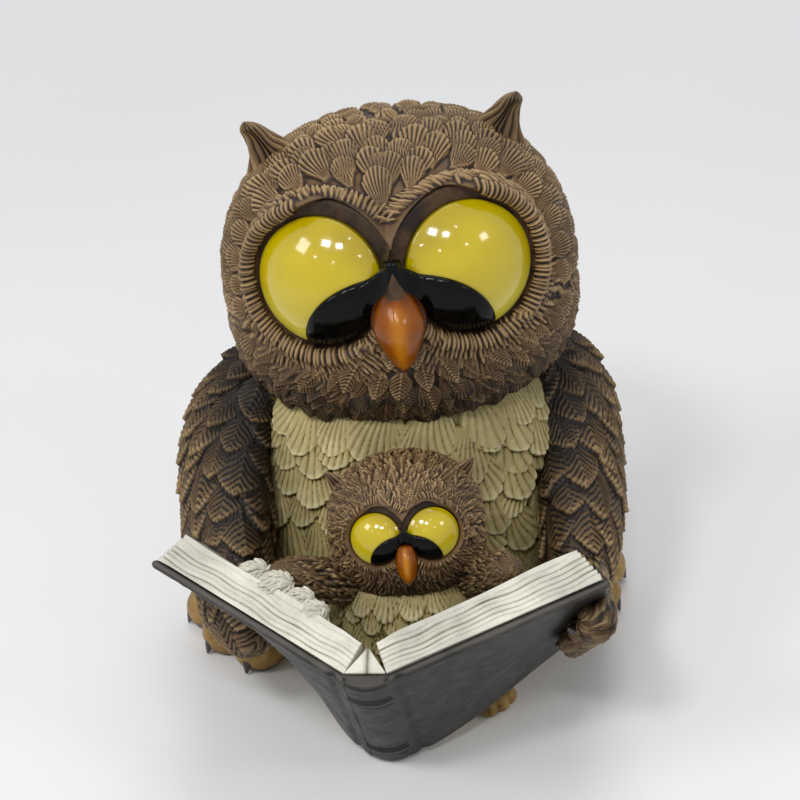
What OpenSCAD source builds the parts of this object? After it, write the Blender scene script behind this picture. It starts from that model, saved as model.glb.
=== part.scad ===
// Owl figurine: an owl that reads an open book, with a small owl in its lap.
// The pieces are castings that seat on each other through spigots, shanks,
// sockets and faces cut back by one seam clearance.

/* [Head] */
// Width of the head over the cheeks
head_w = 82; // [74:1:90]
// Depth of the head, front to back
head_d = 72; // [64:1:80]
// Height of the crown above the middle of the head
head_up = 38; // [34:1:42]
// Depth of the chin below the middle of the head
head_down = 28; // [24:1:32]
// Height of the middle of the head above the table
head_z = 96; // [93:1:100]
// Set-back of the middle of the head behind the origin
head_back = -4; // [-8:1:0]
// Sideways tilt of the head, in degrees
head_tilt = 4; // [0:1:8]
// Turn of the head, in degrees
head_turn = 6; // [0:1:12]
// Radius of the neck spigot below the head
neck_r = 13; // [9:0.5:16]
// Length of the neck spigot
neck_l = 8; // [5:0.5:12]

/* [Ear tufts] */
// Length of an ear tuft
ear_l = 15; // [12:1:20]
// Width of an ear tuft at its root
ear_w = 16; // [12:1:18]
// Half the distance between the roots of the ear tufts
ear_x = 25; // [22:1:28]
// Width of a feather on the crown and the back of the head
head_feather_w = 16; // [12:0.5:18]

/* [Eyes] */
// Radius of an eye at its rim
eye_r = 14.8; // [13:0.2:15.4]
// Half the distance between the eyes
eye_x = 17.6; // [17:0.2:19]
// Height of the eyes above the middle of the head
eye_z = 14; // [10:1:16]
// Height of the eye dome over its rim
eye_bulge = 6.5; // [4:0.5:9]
// Outward turn of each eye, in degrees
eye_turn = 20; // [14:1:26]
// Upward tilt of the eyes, in degrees
eye_tilt = 10; // [4:1:16]
// Radius of the shank behind an eye
shank_r = 5; // [3:0.5:7]
// Length of the shank behind an eye
shank_l = 6; // [4:0.5:8]
// Thickness of the black lens over an eye
pupil_t = 1.3; // [0.8:0.1:2]
// Radius of the rounded rim round an eye
rim_r = 2.4; // [1.6:0.2:3]

/* [Beak] */
// Length of the beak from root to tip
beak_l = 20; // [16:1:23]
// Width of the beak
beak_w = 12.6; // [10:0.2:13.4]
// Height of the beak's root above the middle of the head
beak_z = 14; // [12:0.5:15]

/* [Body] */
// Width of the body at the hips
body_w = 82; // [76:1:88]
// Depth of the body at the hips
body_d = 64; // [58:1:70]
// Height of the body to the neck
body_h = 78; // [74:1:82]
// Thickness of the breast plate in front of the body
breast_t = 7; // [5:0.5:9]
// Height of the lower edge of the breast plate
breast_low = 10; // [6:1:14]
// Number of rows of breast feathers
breast_rows = 5; // [4:1:6]
// Width of a breast feather
breast_feather_w = 12; // [8:0.5:13]
// Width of a feather on the back
back_feather_w = 16; // [12:0.5:18]
// Length of the tail
tail_l = 24; // [16:1:30]

/* [Wings] */
// Distance of the left wing's middle from the body's middle line
left_wing_x = 47; // [44:1:50]
// Distance of the right wing's middle from the body's middle line
right_wing_x = 44; // [42:1:48]
// Thickness of a wing
wing_t = 16; // [13:1:20]
// Depth of a wing, front to back
wing_d = 54; // [46:1:58]
// Inward turn of the left wing's front, in degrees
left_wing_toe = 2; // [0:1:8]
// Inward turn of the right wing's front, in degrees
right_wing_toe = 12; // [6:1:16]
// Width of a wing feather
wing_feather_w = 15; // [11:0.5:17]
// Radius of a finger feather
finger_r = 2.3; // [2:0.1:2.8]

/* [Feet] */
// Distance of the left foot's heel from the body's middle line
left_foot_x = 26; // [23:0.5:28]
// Distance of the right foot's heel from the body's middle line
right_foot_x = 22; // [20:0.5:26]
// Length of a toe
toe_l = 31; // [26:1:34]
// Radius of a toe
toe_r = 6.8; // [5:0.2:7.6]
// Length of a claw
claw_l = 7; // [5:0.5:9]

/* [Book] */
// Height of the book along its spine
book_h = 49; // [44:1:54]
// Width of a board
board_w = 52; // [46:1:56]
// Thickness of a board
board_t = 2; // [1.4:0.1:2.8]
// Thickness of a block of pages
pages_t = 8; // [6:0.2:9]
// Number of steps in a block of pages
page_steps = 5; // [3:1:7]
// Lean of the book from upright, in degrees
book_recline = 33; // [28:1:38]
// Turn of the book about the upright, in degrees
book_turn = 11; // [6:1:14]
// Sideways lean of the book, in degrees
book_lean = 2; // [0:1:4]
// Angle of the left board behind the spine's plane, in degrees
left_open = 32; // [26:1:36]
// Angle of the right board behind the spine's plane, in degrees
right_open = 25; // [20:1:30]
// Twist of the left board towards its fore-edge, in degrees
left_twist = 14; // [8:1:20]
// Twist of the right board towards its fore-edge, in degrees
right_twist = 13; // [8:1:18]
// Distance of the book's foot in front of the origin
book_front = 64; // [62:1:68]
// Distance of the book's foot to the left of the middle
book_left = 13; // [10:1:16]

/* [Baby] */
// Width of the small owl's head
baby_head_w = 35; // [30:1:38]
// Height of the middle of the small owl's head
baby_head_z = 56; // [53:1:58]
// Distance of the small owl in front of the origin
baby_front = 53; // [51:1:55]
// Distance of the small owl to the left of the middle
baby_left = 6; // [4:1:8]
// Radius of the small owl's eye at its rim
baby_eye_r = 5.8; // [5:0.1:6]
// Half the distance between the small owl's eyes
baby_eye_x = 6.6; // [6.2:0.1:7.2]
// Width of the small owl's body
baby_body_w = 36; // [30:1:40]

/* [Fits] */
// Clearance in every seam between two pieces
seam = 0.15; // [0.1:0.05:0.3]
// Thickness of the pad under the body
pad_t = 1.2; // [0.8:0.1:2]
// Width of the border round the pad
pad_border = 5; // [3:0.5:8]

/* [Hidden] */

brown = "#7a6558";
dark_brown = "#5b4638";
cream = "#cfc6a2";
yellow = "#e8dc1c";
black = "#141414";
amber = "#c4761c";
ochre = "#b98a3c";
charcoal = "#34322f";
paper = "#e8e6da";
felt = "#3c3a38";

// Sides of the body, as multipliers of x
left = -1;
right = 1;

// ---------- Forms ----------

// Value of a smooth curve through a list of stations, at position u
function spline(s, u) =
    let (n = len(s) - 1,
         i = max(0, min(floor(u), n - 1)),
         t = u - i,
         a = s[max(i - 1, 0)], b = s[i], c = s[i + 1], d = s[min(i + 2, n)])
    (2 * b + (c - a) * t + (2 * a - 5 * b + 4 * c - d) * t * t
        + (3 * b - a - 3 * c + d) * t * t * t) / 2;

// Signed power, for the boxy outlines
function spow(a, e) = sign(a) * pow(abs(a), e);

// Ease from 0 to 1
function ease(t) = let (c = max(0, min(1, t))) c * c * (3 - 2 * c);

// A ring is [x, y, z, half width, half depth], and a form is a list of rings, low to high
function ring_point(r, az) = [r[0] + r[3] * sin(az), r[1] - r[4] * cos(az), r[2]];

// Direction that a ring faces at an angle from the front
function ring_facing(r, az) = atan2(r[4] * sin(az), r[3] * cos(az));

// Closed solid through oval rings, grown by g all round
module form(stations, rings, around, g = 0) {
    n = len(stations) - 1;
    points = [for (k = [0 : rings])
        let (r = spline(stations, n * k / rings), lift = g * (2 * k / rings - 1))
        for (j = [0 : around - 1])
            ring_point([r[0], r[1], r[2] + lift, r[3] + g, r[4] + g], 360 * j / around)];
    sides = [for (k = [0 : rings - 1], j = [0 : around - 1])
        let (a = k * around + j, b = k * around + (j + 1) % around)
        each [[a, a + around, b + around], [a, b + around, b]]];
    polyhedron(points, concat(sides,
        [[for (j = [0 : around - 1]) j]],
        [[for (j = [0 : around - 1]) (rings + 1) * around - 1 - j]]));
}

// Puts a piece on the side of a form: its -Z runs down the form and its -Y faces outwards
module on_form(stations, u, az, lift = 0, swing = 0) {
    step = 0.25;
    r = spline(stations, u);
    facing = ring_facing(r, az);
    down = ring_point(spline(stations, u - step), az) - ring_point(r, az);
    outwards = down * [sin(facing), -cos(facing), 0];
    translate(ring_point(r, az))
        rotate([-atan2(outwards, -down[2]) - lift, 0, facing])
            rotate([0, swing, 0])
                children();
}

// One feather with its root at the origin and its tip down -Z, domed towards -Y
module feather(l, w, t, tip = 0) {
    side_rim = [[0.2, 0], [0.5, 0.5], [0.4, 0.82]];
    rim = concat(
        [for (p = side_rim) [-w * p[0], 0, -l * p[1]]],
        [[0, 0, -l - tip]],
        [for (k = [2 : -1 : 0]) [w * side_rim[k][0], 0, -l * side_rim[k][1]]]);
    n = len(rim);
    hull()
        polyhedron(concat(rim, [[0, -t, -l * 0.66], [0, t, -l * 0.35]]),
            [for (j = [0 : n - 1]) each [[j, (j + 1) % n, n], [(j + 1) % n, j, n + 1]]]);
}

// Rows of feathers round a form, from angle a0 to a1, every other row set over by half a feather
module feather_rows(stations, rows, a0, a1, count, l, w, t, lift, tip = 0) {
    for (k = [0 : len(rows) - 1], j = [0 : count - 1])
        let (shift = k % 2 == 0 ? 0.25 : 0.75)
        on_form(stations, rows[k], a0 + (a1 - a0) * (j + shift) / count, lift)
            feather(l, w, t, tip);
}

// A curved, tapering claw along +Z that bends towards -Y, grown by g
module claw(l, r, g = 0) {
    form([[0, 0, -l * 0.35, r * 0.8, r * 0.75], [0, 0, 0, r, r * 0.9],
          [0, -l * 0.04, l * 0.35, r * 0.85, r * 0.8], [0, -l * 0.16, l * 0.7, r * 0.5, r * 0.5],
          [0, -l * 0.36, l, r * 0.12, r * 0.12]], 5, 8, g);
}

// ---------- Head ----------

head_lower_box = 0.62;
head_upper_box = 0.84;

// Rings of a domed head round its own middle
function head_rings(w, d, up, down) =
    [for (v = [-84 : 14 : 84])
        let (box = v < 0 ? head_lower_box : head_upper_box,
             f = pow(cos(v), box),
             h = v < 0 ? down : up)
        [0, 0, h * spow(sin(v), box), w / 2 * f, d / 2 * f]];

// Depth of such a head's face at x and z
function face_y(w, d, up, x, z) =
    let (sine = pow(z / up, 1 / head_upper_box),
         f = pow(sqrt(1 - sine * sine), head_upper_box))
    -d / 2 * f * sqrt(max(0, 1 - pow(x / (w / 2 * f), 2)));

head = head_rings(head_w, head_d, head_up, head_down);
eye_y = face_y(head_w, head_d, head_up, eye_x, eye_z);
eye_sink = eye_r * eye_r / head_w;

module at_head() {
    translate([0, head_back, head_z])
        rotate([0, -head_tilt, -head_turn])
            children();
}

// Frame of an eye: +Z looks out of the face, +Y is up
module at_eye_frame(side, x, y, z, turn, tilt, sink) {
    translate([side * x, y, z])
        rotate([0, 0, side * turn])
            rotate([90 - tilt, 0, 0])
                translate([0, 0, -sink])
                    children();
}

module at_eye(side)
    at_eye_frame(side, eye_x, eye_y, eye_z, eye_turn, eye_tilt, eye_sink) children();

// Radius of the sphere whose cap has the eye's rim and bulge
function cap_r(r, bulge) = (r * r + bulge * bulge) / (2 * bulge);

// Glossy dome on a round shank
module eye(r, bulge, shank, length, g = 0) {
    ball = cap_r(r, bulge);
    intersection() {
        translate([0, 0, bulge - ball]) sphere(ball, $fn = 64);
        cylinder(r = r, h = bulge + 1, $fn = 64);
    }
    translate([0, 0, -length]) cylinder(r = shank, h = length + 0.5, $fn = 32);
}

// Socket for an eye: a round recess and a bore
module eye_socket(r, bulge, shank, length) {
    translate([0, 0, -seam]) cylinder(r = r + seam, h = bulge * 3, $fn = 20);
    translate([0, 0, -length - seam]) cylinder(r = shank + seam, h = length + 1, $fn = 12);
}

// Direction of the black lens from the middle of the eye, and its outline against the rim
pupil_angle = -49;
pupil_reach = 1.63;
pupil_round = 1.36;

// Lens-shaped outline of the black part; inner is -1 where the beak lies towards -X
module pupil_outline(r, inner) {
    intersection() {
        circle(r, $fn = 64);
        translate([inner * r * pupil_reach * cos(pupil_angle), r * pupil_reach * sin(pupil_angle)])
            circle(r * pupil_round, $fn = 64);
    }
}

// Half of the black bridge over the beak, grown by g
module pupil_bridge(r, t, inner, g = 0) {
    bridge_r = r * 0.115;
    translate([inner * r * 0.86, r * 0.08, t + bridge_r])
        rotate([0, inner * 90, 0])
            cylinder(r = bridge_r + g, h = r * 0.5, $fn = 14);
}

// Black lens over the inner lower part of an eye
module pupil(r, bulge, t, inner) {
    ball = cap_r(r, bulge);
    difference() {
        intersection() {
            translate([0, 0, bulge - ball]) sphere(ball + t, $fn = 64);
            linear_extrude(bulge + t + 1) pupil_outline(r, inner);
        }
        translate([0, 0, bulge - ball]) sphere(ball + seam, $fn = 64);
    }
    pupil_bridge(r, t, inner);
}

// Half space on one side of the face's middle line
module half(side, size) {
    translate([side * (size / 2 + seam / 2), 0, 0]) cube(size, center = true);
}

beak_rings = [for (s = [[-1, -0.12, 0.05], [-0.88, -0.1, 0.26], [-0.66, -0.06, 0.42], [-0.4, 0, 0.5],
                        [-0.16, 0.06, 0.36], [0, 0.12, 0.12]])
    [0, face_y(head_w, head_d, head_up, 0, beak_z - beak_l / 2) + s[1] * beak_l * 0.6 - 1,
     beak_z + s[0] * beak_l, beak_w * s[2], beak_w * s[2] * 1.1]];

module beak_shape(g = 0) {
    form(beak_rings, 8, 12, g);
}

module beak_peg(g = 0) {
    translate([0, face_y(head_w, head_d, head_up, 0, beak_z - beak_l / 2) + 9 + g, beak_z - beak_l * 0.45])
        rotate([90, 0, 0]) cylinder(r = 2.5 + g, h = 9 + g, $fn = 24);
}

// Horn-shaped tuft that leans outwards and bends back at its tip
module ear_tuft(side) {
    translate([side * ear_x, 2, head_up * 0.70])
        rotate([0, side * 20, 0])
            form([[0, 0, -ear_l * 0.3, ear_w * 0.6, ear_w * 0.44],
                  [0, 0, ear_l * 0.15, ear_w * 0.52, ear_w * 0.38],
                  [side * -0.4, 0, ear_l * 0.5, ear_w * 0.36, ear_w * 0.28],
                  [side * 0.5, 0, ear_l * 0.8, ear_w * 0.21, ear_w * 0.17],
                  [side * 1.2, 0, ear_l, ear_w * 0.06, ear_w * 0.06]], 5, 8);
}

// Fringe of feathers below the chin, grown by g
module chin_fringe(g = 0) {
    feather_rows(head, [3.9], -125, 125, 11, 11 + g, 14 + 2 * g, 2 + g, 10, 2 + g);
}

// Rows of feathers on the sides and the back of the head: [height, angle of the first, feathers]
head_rows = [[10.9, 90, 5], [9.7, 62, 7], [8.5, 64, 8], [7.3, 63, 9], [6.1, 62, 9]];
// Fans that open upwards over the brow and the crown: [height, angle from the front]
crown_fans = [[8.9, 0], [10, -19], [10, 19], [10.6, 0], [10.7, -52], [10.7, 52], [11.3, -25], [11.3, 25]];
// How far the feathers stand out of the forms that carry them, at most
stand = 2.8;

module head_feathers() {
    for (row = head_rows)
        feather_rows(head, [row[0]], row[1], 360 - row[1], row[2],
            head_feather_w * 1.05, head_feather_w, 2, -7, 1);
    for (fan = crown_fans)
        on_form(head, fan[0], fan[1], -173) feather(head_feather_w * 0.85, head_feather_w * 0.85, 2);
}

module head_form(g = 0) {
    form(head, 12, 20, g);
}

module head_shape(g = 0) {
    head_form(g);
    chin_fringe(g);
}

module eye_rim(side) {
    at_eye(side)
        rotate_extrude($fn = 20)
            translate([eye_r + rim_r * 0.6, 0.5]) circle(rim_r, $fn = 5);
}

module head() {
    color(brown) at_head() difference() {
        union() {
            head_shape();
            for (side = [left, right]) {
                ear_tuft(side);
                eye_rim(side);
            }
            intersection() {
                head_feathers();
                head_form(stand);
            }
            translate([0, 0, -head_down - neck_l]) cylinder(r = neck_r, h = neck_l + 6, $fn = 20);
        }
        for (side = [left, right])
            at_eye(side) {
                eye_socket(eye_r, eye_bulge, shank_r, shank_l);
                pupil_bridge(eye_r, pupil_t, -side, seam);
            }
        beak_shape(seam);
        beak_peg(seam);
    }
}

module one_eye(side) {
    color(yellow) at_head() at_eye(side) eye(eye_r, eye_bulge, shank_r, shank_l);
}

module one_pupil(side) {
    color(black) at_head() intersection() {
        at_eye(side) pupil(eye_r, eye_bulge, pupil_t, -side);
        half(side, head_w * 2);
    }
}

module beak() {
    color(amber) at_head() {
        difference() {
            beak_shape();
            for (side = [left, right])
                at_eye(side) {
                    eye_socket(eye_r, eye_bulge, shank_r, shank_l);
                    pupil_bridge(eye_r, pupil_t, -side, seam);
                }
        }
        beak_peg();
    }
}

// ---------- Body ----------

body = [for (s = [[0, 0.86], [0.08, 0.94], [0.31, 1], [0.58, 0.97], [0.82, 0.86], [0.94, 0.72], [1, 0.58]])
    [0, 0, body_h * s[0], body_w / 2 * s[1], body_d / 2 * s[1]]];

// The breast's form is narrower than the body and stands in front of it
breast = [for (s = [[0, 0.90], [0.25, 0.98], [0.5, 1], [0.75, 0.95], [0.92, 0.85], [1, 0.74]])
    [0, -breast_t, breast_low + (body_h - breast_low - 3) * s[0], body_w * 0.44 * s[1], body_d / 2 * s[1]]];

module body_form(g = 0) {
    form(body, 8, 20, g);
}

module breast_form(g = 0) {
    form(breast, 6, 16, g);
}

module at_neck() {
    at_head() translate([0, 0, -head_down]) children();
}

// Space that the head and its spigot take in the body
module head_seat() {
    at_head() head_shape(seam);
    at_neck() translate([0, 0, -neck_l - seam]) cylinder(r = neck_r + seam, h = neck_l + 8, $fn = 24);
}

// Tail of five feathers, fanned out behind the foot of the body
module tail() {
    for (k = [-2 : 2])
        translate([k * 7, body_d * 0.36, tail_l * 0.72])
            rotate([0, 0, 180 + k * 9])
                rotate([-28, k * -6, 0])
                    feather(tail_l, 12, 5, 2);
}

module floor_cut() {
    translate([0, 0, -50]) cube([400, 400, 100], center = true);
}

module torso() {
    color(brown) difference() {
        union() {
            body_form();
            difference() {
                union() {
                    feather_rows(body, [4.9, 4.0, 3.1, 2.3], 95, 265, 7,
                        back_feather_w * 1.15, back_feather_w, 2, 5, 1.5);
                    tail();
                }
                for (side = [left, right]) wing_form(side, stand + seam);
            }
        }
        head_seat();
        floor_cut();
        translate([0, 0, -1]) linear_extrude(pad_t + seam + 1) pad_outline(seam);
    }
}

// Oval of the pad, inside the foot of the body
module pad_outline(g = 0) {
    foot = body[0];
    inset = g - pad_border;
    polygon([for (a = [0 : 9 : 351]) [(foot[3] + inset) * cos(a), (foot[4] + inset) * sin(a)]]);
}

module base_pad() {
    color(felt) linear_extrude(pad_t) pad_outline();
}

module breast() {
    color(cream) difference() {
        intersection() {
            breast_form(stand);
            breast_plumage();
        }
        body_form(seam);
        head_seat();
    }
}

module breast_plumage() {
    breast_form();
    feather_rows(breast, [for (k = [0 : breast_rows - 1]) 4.7 - k * 4.2 / breast_rows],
        -76, 76, 6, 16, breast_feather_w, 2, 8);
}

// Form of the breast with its feathers, for what stands against it
module breast_space() {
    breast_form(stand + seam);
}

// ---------- Wings ----------

// Rings of a wing, low to high, round the wing's own upright
wing = [for (s = [[18, -4, -28, 0.3, 0.3], [25, -2, -29, 0.75, 0.78], [34, 0, -25, 0.95, 1],
                  [45, -1, -16, 1.05, 0.98], [56, -3, -7, 1.05, 0.76], [66, -8, -1, 0.98, 0.52],
                  [74, -15, 1, 0.7, 0.34], [77, -18, 1, 0.3, 0.16]])
    [s[1], s[2], s[0], wing_t / 2 * s[3], wing_d / 2 * s[4]]];

module on_side(side) {
    if (side == right) children();
    else mirror([1, 0, 0]) children();
}

module at_wing(side) {
    on_side(side)
        translate([side == left ? left_wing_x : right_wing_x, 0, 0])
            rotate([0, 0, -(side == left ? left_wing_toe : right_wing_toe)])
                children();
}

module wing_form(side, g = 0) {
    at_wing(side) form(wing, 8, 12, g);
}

module wing_feathers(side) {
    at_wing(side)
        feather_rows(wing, [6.1, 4.8, 3.6, 2.4], -26, 172, 5, wing_feather_w * 1.3, wing_feather_w, 1.9, -3, 2);
}

// Fingers fan out from a palm over the outer face of a board: [place up the board, place across it]
left_palm = [0.04, 0.97];
left_fingers = [[0.3, 0.92], [0.2, 0.82], [0.08, 0.75]];
right_palm = [0.42, 0.98];
right_fingers = [[0.62, 0.84], [0.44, 0.80], [0.27, 0.84]];
finger_gap = 0.4;

function palm(side) = side == left ? left_palm : right_palm;
function finger_list(side) = side == left ? left_fingers : right_fingers;

// Middle of a finger at a place [up, across] on the board
function finger_point(side, place, lift = 0) =
    book_point(side, place[1], place[0], -board_t - finger_r - seam - finger_gap - lift);

// Where the hand leaves the wing
function wrist(side) =
    side == left ? [-left_wing_x, -30, 24] : [right_wing_x - 7, -38, 32];

// Frame at a whose +Z looks towards b
module along(a, b) {
    d = b - a;
    translate(a)
        rotate([0, acos(d[2] / norm(d)), atan2(d[1], d[0])])
            children();
}

module link(a, b, ra, rb) {
    hull() {
        translate(a) sphere(ra, $fn = 6);
        translate(b) sphere(rb, $fn = 6);
    }
}

module fingers(side) {
    root = finger_point(side, palm(side));
    link(wrist(side), root, finger_r * 2.2, finger_r * 1.5);
    for (f = finger_list(side))
        link(root, finger_point(side, f), finger_r * 1.3, finger_r * 0.9);
}

module wing(side) {
    color(dark_brown) difference() {
        union() {
            intersection() {
                union() {
                    wing_form(side);
                    wing_feathers(side);
                }
                wing_form(side, stand);
            }
            fingers(side);
        }
        body_form(seam);
        breast_space();
        head_seat();
        at_head() head_form(stand + seam);
        book_space();
        wing_claw_list(side, seam);
        floor_cut();
    }
}

// Black claws at the fingers' ends
module wing_claw_list(side, g = 0) {
    for (f = finger_list(side)) {
        a = finger_point(side, f);
        b = finger_point(side, f + (f - palm(side)) * 0.4, -finger_r * 0.5);
        l = norm(b - a);
        along(a, b)
            form([[0, 0, -1, finger_r * 0.45, finger_r * 0.45],
                  [0, 0, l * 0.5, finger_r * 0.6, finger_r * 0.6],
                  [0, 0, l, finger_r * 0.15, finger_r * 0.15]], 3, 6, g);
    }
}

module wing_claws(side) {
    color(black) difference() {
        wing_claw_list(side);
        book_space();
    }
}

// ---------- Feet ----------

toe_angles = [4, 30, 54];

// Point of the right-hand toe k, this far along it and this high
function toe_point(x, k, along, z) =
    [x + along * cos(toe_angles[k]), -along * sin(toe_angles[k]), z];

function foot_x(side) = side == left ? left_foot_x : right_foot_x;

// Three toes fanned outwards and forwards from one heel
module foot_shape(side) {
    x = foot_x(side);
    on_side(side) for (k = [0 : 2]) {
        ball = toe_point(x, k, toe_l * 0.5, toe_r * 0.9);
        knuckle = toe_point(x, k, toe_l * 0.68, toe_r * 0.95);
        end = toe_point(x, k, toe_l - toe_r * 0.7, toe_r * 0.78);
        link([x, 0, toe_r * 0.9], ball, toe_r * 1.1, toe_r * 0.95);
        link(ball, knuckle, toe_r * 0.95, toe_r);
        link(knuckle, end, toe_r, toe_r * 0.85);
    }
}

module claw_list(side, g = 0) {
    on_side(side) for (k = [0 : 2])
        translate(toe_point(foot_x(side), k, toe_l - toe_r * 0.1, toe_r * 0.85))
            rotate([0, 0, -toe_angles[k]])
                rotate([0, 128, 0]) rotate([0, 0, 90])
                    claw(claw_l, toe_r * 0.36, g);
}

module foot(side) {
    color(ochre) difference() {
        foot_shape(side);
        body_form(seam);
        breast_space();
        claw_list(side, seam);
        floor_cut();
        book_space();
    }
}

module claws(side) {
    color(black) difference() {
        claw_list(side);
        floor_cut();
    }
}

// ---------- Book ----------

spine_half = 4.6;
head_proud = 0.7;

book_at = [-book_left, -book_front, board_t];

// Frame of the book: origin at the foot of the spine, +Z along the spine, +Y towards the owl
module at_book() {
    translate(book_at)
        rotate([0, 0, -book_turn])
            rotate([book_recline, 0, 0])
                rotate([0, -book_lean, 0])
                    children();
}

function turn_x(p, a) = [p[0], p[1] * cos(a) - p[2] * sin(a), p[1] * sin(a) + p[2] * cos(a)];
function turn_y(p, a) = [p[0] * cos(a) + p[2] * sin(a), p[1], p[2] * cos(a) - p[0] * sin(a)];
function turn_z(p, a) = [p[0] * cos(a) - p[1] * sin(a), p[0] * sin(a) + p[1] * cos(a), p[2]];

// Place of a point of the book's frame on the table
function from_book(p) = book_at + turn_z(turn_x(turn_y(p, -book_lean), book_recline), -book_turn);

function open_angle(side) = side == left ? left_open : right_open;
function twist(side, t) = side == left ? left_twist * ease(t / 0.7) : right_twist * ease(t / 1.1);

// Point of the book: t across a board from the spine, v up it, w in from its inner face
function book_point(side, t, v, w) =
    let (a = open_angle(side),
         across = [side * cos(a), sin(a), 0],
         inwards = [-side * sin(a), cos(a), 0],
         q = twist(side, t),
         up = [0, 0, cos(q)] - inwards * sin(q),
         out = inwards * cos(q) + [0, 0, sin(q)])
    from_book([side * spine_half, 0, book_h] + across * board_w * t - up * book_h * (1 - v) + out * w);

// Positions across the book at which every slab is bent, so that slabs lie flush on each other
bends = 12;

// Solid between two positions across, up and through the book's side
module book_slab(side, t0, t1, v0, v1, w0, w1) {
    between = [for (k = [0 : bends]) if (k / bends > t0 + 0.01 && k / bends < t1 - 0.01) k / bends];
    stations = concat(t0, between, t1);
    last = 4 * (len(stations) - 1);
    rows = [for (t = stations)
        each [book_point(side, t, v0, w0), book_point(side, t, v1, w0),
              book_point(side, t, v1, w1), book_point(side, t, v0, w1)]];
    // Inner and outer faces are split along the same diagonal, so that neighbours stay parallel
    skin = [for (i = [0 : 4 : last - 4], j = [0 : 3])
        let (a = i + j, b = i + (j + 1) % 4)
        each j == 2 ? [[a, b, a + 4], [b, b + 4, a + 4]] : [[a, b, b + 4], [a, b + 4, a + 4]]];
    faces = concat(skin, [[0, 3, 2], [0, 2, 1], [last, last + 1, last + 2], [last, last + 2, last + 3]]);
    polyhedron(rows, side == left ? [for (f = faces) [f[2], f[1], f[0]]] : faces);
}

// Everything that the book takes up, grown by the seam
module book_space() {
    over = seam / board_w + 0.02;
    for (side = [left, right])
        book_slab(side, -0.01, 1 + over, -seam / book_h, 1 + (head_proud + seam) / book_h,
            -board_t - seam, pages_t + seam);
    at_book() translate([-spine_half - 1, -spine_out - seam, -seam])
        cube([2 * spine_half + 2, spine_out + pages_t, book_h + head_proud + 2 * seam]);
}

spine_out = board_t + 1.6;

// Rounded back of the spine, outer face towards -Y
module spine_outline(g = 0) {
    half_w = spine_half + 0.4;
    radius = (half_w * half_w + 2.6) / 3.2;
    intersection() {
        translate([0, radius - spine_out]) circle(radius + g, $fn = 64);
        translate([-half_w - g, -spine_out - g]) square([2 * half_w + 2 * g, spine_out + g]);
    }
}

module book_cover() {
    groove = 1.6 / board_w;
    color(charcoal) {
        at_book() {
            linear_extrude(book_h) spine_outline();
            for (z = [0.13, 0.21, 0.77, 0.85])
                translate([0, 0, book_h * z]) linear_extrude(1.5) spine_outline(0.5);
        }
        for (side = [left, right]) {
            book_slab(side, -0.012, groove * 1.5, 0.004, 0.996, -board_t * 0.45, -board_t * 0.1);
            book_slab(side, groove, 1, 0, 1, -board_t, 0);
        }
    }
}

// Page blocks are stacks of leaves, each step a little shorter than the one below it
module pages(side) {
    step = (pages_t - seam) / page_steps;
    color(paper)
        for (k = [0 : page_steps - 1])
            let (ragged = (k * 7) % 3 * 0.004)
            book_slab(side, 0.002 + k * 0.002, 0.985 - ragged - k * 0.006, 0.012 + ragged,
                1 + head_proud / book_h - ragged * 2, seam + max(0, k - 0.5) * step, seam + (k + 1) * step);
}

// White wedge that fills the gap between the two blocks at the spine
module spine_lining() {
    inset = seam * 1.6;
    meet_x = (sin(left_open) - sin(right_open)) * pages_t / 2;
    meet_y = min(cos(left_open), cos(right_open)) * pages_t - inset * 3;
    color(paper) at_book() linear_extrude(book_h + head_proud)
        polygon([[-spine_half + inset, seam], [spine_half - inset, seam],
            [meet_x + inset / 2, meet_y], [meet_x - inset / 2, meet_y]]);
}

// ---------- Baby ----------

baby_head_d = baby_head_w * 0.86;
baby_head_up = baby_head_w * 0.48;
baby_head_down = baby_head_w * 0.40;
baby_head_rings = head_rings(baby_head_w, baby_head_d, baby_head_up, baby_head_down);
baby_eye_z = baby_head_up * 0.16;
baby_eye_y = face_y(baby_head_w, baby_head_d, baby_head_up, baby_eye_x, baby_eye_z);
baby_eye_bulge = baby_eye_r * 0.42;
baby_shank_r = baby_eye_r * 0.4;
baby_shank_l = baby_eye_r * 0.6;
baby_pupil_t = baby_eye_r * 0.11;
baby_nod = 12;

module at_baby() {
    translate([-baby_left, -baby_front, 0]) children();
}

module at_baby_head() {
    at_baby() translate([0, 0, baby_head_z]) rotate([-baby_nod, -head_tilt, -head_turn]) children();
}

module at_baby_eye(side)
    at_eye_frame(side, baby_eye_x, baby_eye_y, baby_eye_z, eye_turn * 0.7, eye_tilt,
        baby_eye_r * baby_eye_r / baby_head_w) children();

baby_body = [for (s = [[0, 0.62], [0.15, 0.86], [0.45, 1], [0.75, 0.92], [1, 0.6]])
    [0, 0, (baby_head_z - baby_head_down * 0.3) * s[0], baby_body_w / 2 * s[1], baby_body_w * 0.48 * s[1]]];

// How far the small owl's feathers stand out of its forms, at most
baby_stand = 1.7;

module baby_body_form(g = 0) {
    at_baby() form(baby_body, 5, 12, g);
}

module baby_head_form(g = 0) {
    at_baby_head() form(baby_head_rings, 8, 14, g);
}

module baby_ear(side) {
    l = baby_head_w * 0.24;
    translate([side * baby_head_w * 0.36, 0, baby_head_up * 0.6])
        rotate([0, side * 38, 0])
            form([[0, 0, -l * 0.5, l * 0.42, l * 0.36], [0, 0, l * 0.2, l * 0.34, l * 0.28],
                  [side * 0.3, 0, l, l * 0.05, l * 0.05]], 4, 7);
}

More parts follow.
